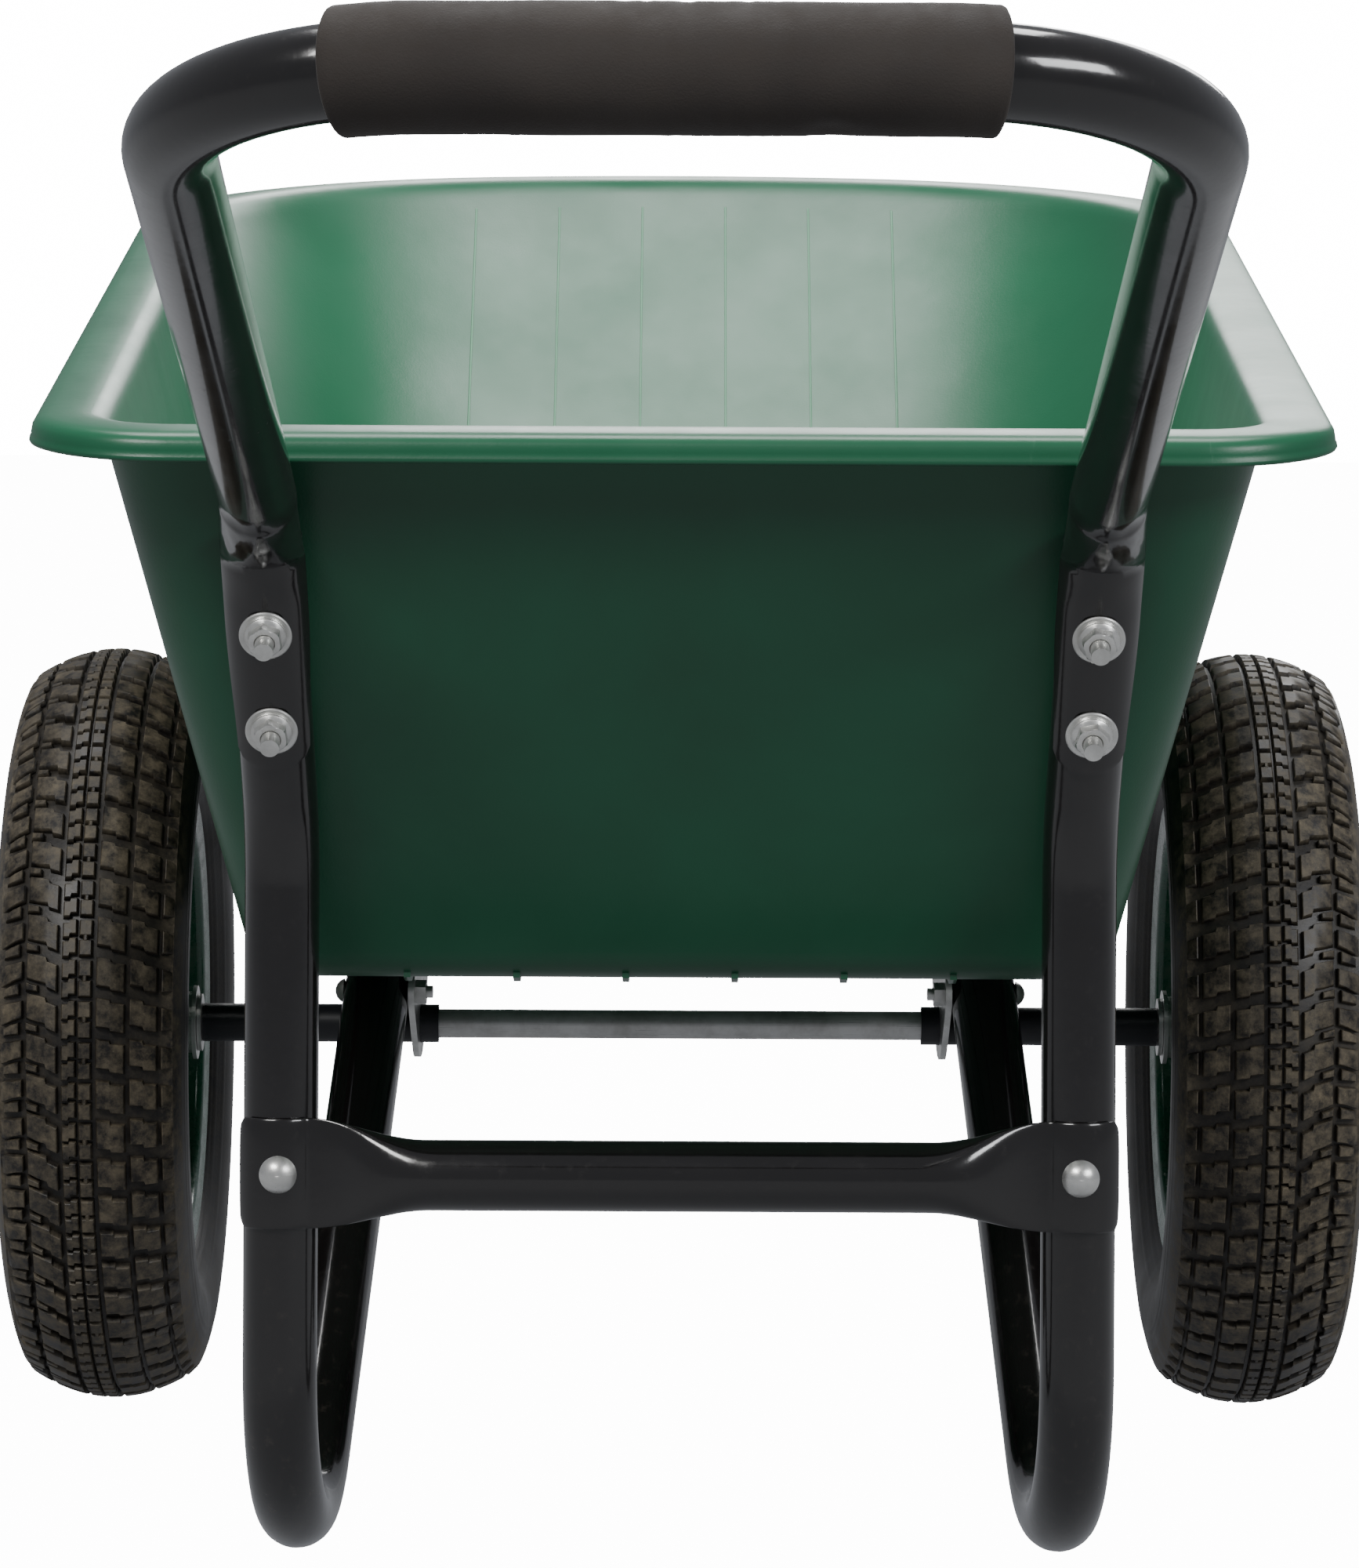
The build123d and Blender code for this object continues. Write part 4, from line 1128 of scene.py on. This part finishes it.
def washerMesh():
    edge, radius, hole = (fastener[key] for key in ("washerEdge", "washer", "hole"))
    profile = [(hole, 0.0), (radius - 0.4, 0.0), (radius, 0.3), (radius, edge + 0.4),
               (radius - 0.5, edge + 0.8),
               (radius - 2.2, edge + 0.55), (8.6, edge + 0.9), (hole, edge + 1.0)]
    return turned("washer", profile, 48)


def turned(name, profile, count, closed=True):
    rings = [[Vector((radius * cos(2 * pi * k / count), radius * sin(2 * pi * k / count), height))
              for radius, height in profile] for k in range(count)]
    return ringMesh(name, rings, closedPath=True)


def hexMesh():
    count = 36
    rings = []
    base = fastener["washerEdge"] + 1.0
    hexR = fastener["hex"]

    def hexRadius(angle, size):
        part = (angle + pi / 6) % (pi / 3) - pi / 6
        return size / cos(part)

    def ring(height, shape):
        angles = [2 * pi * k / count for k in range(count)]
        return [Vector((shape(a) * cos(a), shape(a) * sin(a), base + height)) for a in angles]

    bore = fastener["bolt"] - 0.2
    rings.append(ring(0, lambda a: bore))
    rings.append(ring(0, lambda a: fastener["flange"] - 0.2))
    rings.append(ring(0.7, lambda a: fastener["flange"]))
    rings.append(ring(1.2, lambda a: fastener["flange"] - 0.5))
    rings.append(ring(1.9, lambda a: hexRadius(a, hexR) + 0.1))
    rings.append(ring(5.3, lambda a: hexRadius(a, hexR)))
    rings.append(ring(6.2, lambda a: min(hexRadius(a, hexR) - 0.1, hexR + 0.3)))
    rings.append(ring(6.5, lambda a: hexR - 0.4))
    rings.append(ring(6.5, lambda a: fastener["bolt"] + 0.5))
    rings.append(ring(5.9, lambda a: fastener["bolt"]))
    rings.append(ring(5.9, lambda a: bore))
    mesh = ringMesh("nut", rings, closedPath=True)
    return mesh


def threadMesh():
    radius, out, pitch = fastener["bolt"], fastener["threadOut"], fastener["pitch"]
    base = fastener["washerEdge"] + 1.0 + 5.0
    profile = [(0.0, base)]
    height = base
    top = base + 1.5 + out
    while height < top - 1.0:
        profile += [(radius - 0.55, height), (radius, height + pitch * 0.45), (radius, height + pitch * 0.55)]
        height += pitch
    profile += [(radius - 0.6, height), (radius - 0.9, top - 0.2), (radius - 1.3, top), (0.0, top)]
    count = 28
    rings = [[Vector((r * cos(2 * pi * k / count), r * sin(2 * pi * k / count), z)) for k in range(count)]
             for r, z in profile[1:-1]]
    return ringMesh("thread", rings, caps=True)


def scatterTree():
    tree = newTree("fastenersOnPoints", Fastener="Object", Finish="Material")
    source = addNode(tree, "GeometryNodeObjectInfo", {"Object": treeInput(tree, "Fastener")})
    facing = addNode(tree, "GeometryNodeInputNamedAttribute", {"Name": "facing"}, data_type="FLOAT_VECTOR")
    lined = addNode(tree, "FunctionNodeAlignEulerToVector", {"Vector": facing.outputs[0]}, axis="Z")
    spin = addNode(tree, "GeometryNodeInputNamedAttribute", {"Name": "spin"}, data_type="FLOAT")
    turned = addNode(tree, "FunctionNodeRotateEuler",
                     {"Rotation": lined.outputs[0], "Angle": spin.outputs[0]},
                     rotation_type="AXIS_ANGLE", space="LOCAL")
    copies = addNode(tree, "GeometryNodeInstanceOnPoints",
                     {"Points": treeInput(tree, "Geometry"), "Instance": source.outputs["Geometry"],
                      "Rotation": turned.outputs[0]})
    finishTree(tree, copies.outputs[0])
    return tree


def makeFasteners():
    whole = mergedMesh("fastener", [washerMesh(), hexMesh(), threadMesh()])
    seed = newObject("fastenerSeed", whole, zincPlate)
    spots, facing = [], []
    away = Vector((0, -cos(back), -sin(back)))
    for z in handle["boltZ"]:
        for side in (1, -1):
            spots.append((onRail(uprightY(z), z, side) + away * saddleOut) * mm)
            facing.append(away)
    mesh = bpy.data.meshes.new("fastenerSpots")
    mesh.from_pydata([tuple(spot) for spot in spots], [], [])
    direction = mesh.attributes.new("facing", "FLOAT_VECTOR", "POINT")
    direction.data.foreach_set("vector", [value for vector in facing for value in vector])
    spin = mesh.attributes.new("spin", "FLOAT", "POINT")
    spin.data.foreach_set("value", [0.3, 1.15, 0.75, 0.1])
    holder = bpy.data.objects.new("fastenerSpots", mesh)
    bpy.context.scene.collection.objects.link(holder)
    made = grown("handle_fasteners", holder, scatterTree(), Fastener=seed, Finish=zincPlate)
    bpy.data.objects.remove(seed)
    made.data.polygons.foreach_set("use_smooth", [True] * len(made.data.polygons))
    place(sharpen(made, 32), "frame", "zinc", "handle_washers", "handle_nuts")


makeFasteners()
print("fasteners made")


def paintNodes():
    finishes = {
        "zincPlate": ("bolt", "nut", "washer", "cotter", "hub", "bush", "bracket"),
        "blackPlastic": ("sleeve", "plug", "cap"), "rimPaint": ("rim_outer", "rim_inner"),
        "drawnRod": ("axle_rod",), "tubeRubber": ("inner_tube", "stem"),
    }
    looks = {"zincPlate": zincPlate, "blackPlastic": blackPlastic, "rimPaint": rimPaint, "drawnRod": drawnRod,
             "tubeRubber": tubeRubber}
    order = ("rimPaint", "drawnRod", "tubeRubber", "blackPlastic", "zincPlate")
    for name, obj in nodes.items():
        if obj.hide_render:
            continue
        fitting = (looks[key] for key in order if any(word in name for word in finishes[key]))
        finish = next(fitting, blackPaint)
        obj.data.materials.clear()
        obj.data.materials.append(finish)


paintNodes()
print("kept pieces painted")


def makeStudio():
    bpy.ops.mesh.primitive_plane_add(size=16)
    floor = bpy.context.object
    floor.name = "floor"
    look = Finish("paleFloor", (0.86, 0.86, 0.85), 0.75, Alpha=0.12)
    floor.data.materials.append(look.material)
    lights = [
        ("keyLight", (-1.6, -2.6, 2.9), (0, 0.1, 0.4), 1.6, 95, (1.0, 0.99, 0.97)),
        ("fillLight", (2.2, -2.2, 1.9), (0, 0, 0.4), 1.5, 60, (0.97, 0.98, 1.0)),
        ("topLight", (0, 0.6, 3.2), (0, 0.2, 0.3), 2.2, 95, (1.0, 1.0, 1.0)),
        ("backLight", (0.6, 3.0, 1.8), (0, 0, 0.4), 2.0, 45, (1.0, 1.0, 1.0)),
    ]
    for name, place, aim, size, power, tint in lights:
        data = bpy.data.lights.new(name, "AREA")
        data.shape = "RECTANGLE"
        data.size = size
        data.size_y = size * 0.5
        data.energy = power
        data.color = tint
        lamp = bpy.data.objects.new(name, data)
        bpy.context.scene.collection.objects.link(lamp)
        lamp.location = place
        lamp.rotation_euler = (Vector(aim) - Vector(place)).to_track_quat("-Z", "Y").to_euler()
    world = bpy.data.worlds.new("studio")
    bpy.context.scene.world = world
    world.use_nodes = True
    tree = world.node_tree
    seen = tree.nodes["Background"]
    seen.inputs["Color"].default_value = (1, 1, 1, 1)
    seen.inputs["Strength"].default_value = 16.0
    dim = tree.nodes.new("ShaderNodeBackground")
    dim.inputs["Color"].default_value = (0.9, 0.93, 1.0, 1)
    dim.inputs["Strength"].default_value = 0.3
    ray = tree.nodes.new("ShaderNodeLightPath")
    pick = tree.nodes.new("ShaderNodeMixShader")
    tree.links.new(ray.outputs["Is Camera Ray"], pick.inputs[0])
    tree.links.new(dim.outputs[0], pick.inputs[1])
    tree.links.new(seen.outputs[0], pick.inputs[2])
    tree.links.new(pick.outputs[0], tree.nodes["World Output"].inputs["Surface"])


view = {
    "lens": 136.8, "sensor": 36.0, "back": 2.886, "height": 0.6304, "right": -0.0008,
    "tilt": 83.5, "roll": 0.3,  # degrees
}


def makeCamera():
    data = bpy.data.cameras.new("camera")
    data.lens = view["lens"]
    data.sensor_width = view["sensor"]
    camera = bpy.data.objects.new("camera", data)
    bpy.context.scene.collection.objects.link(camera)
    camera.location = (view["right"], axleY - view["back"], view["height"])
    aim = Matrix.Rotation(radians(view["tilt"]), 4, "X") @ Matrix.Rotation(radians(view["roll"]), 4, "Z")
    camera.rotation_euler = aim.to_euler()
    bpy.context.scene.camera = camera


makeStudio()
makeCamera()
print("studio made")
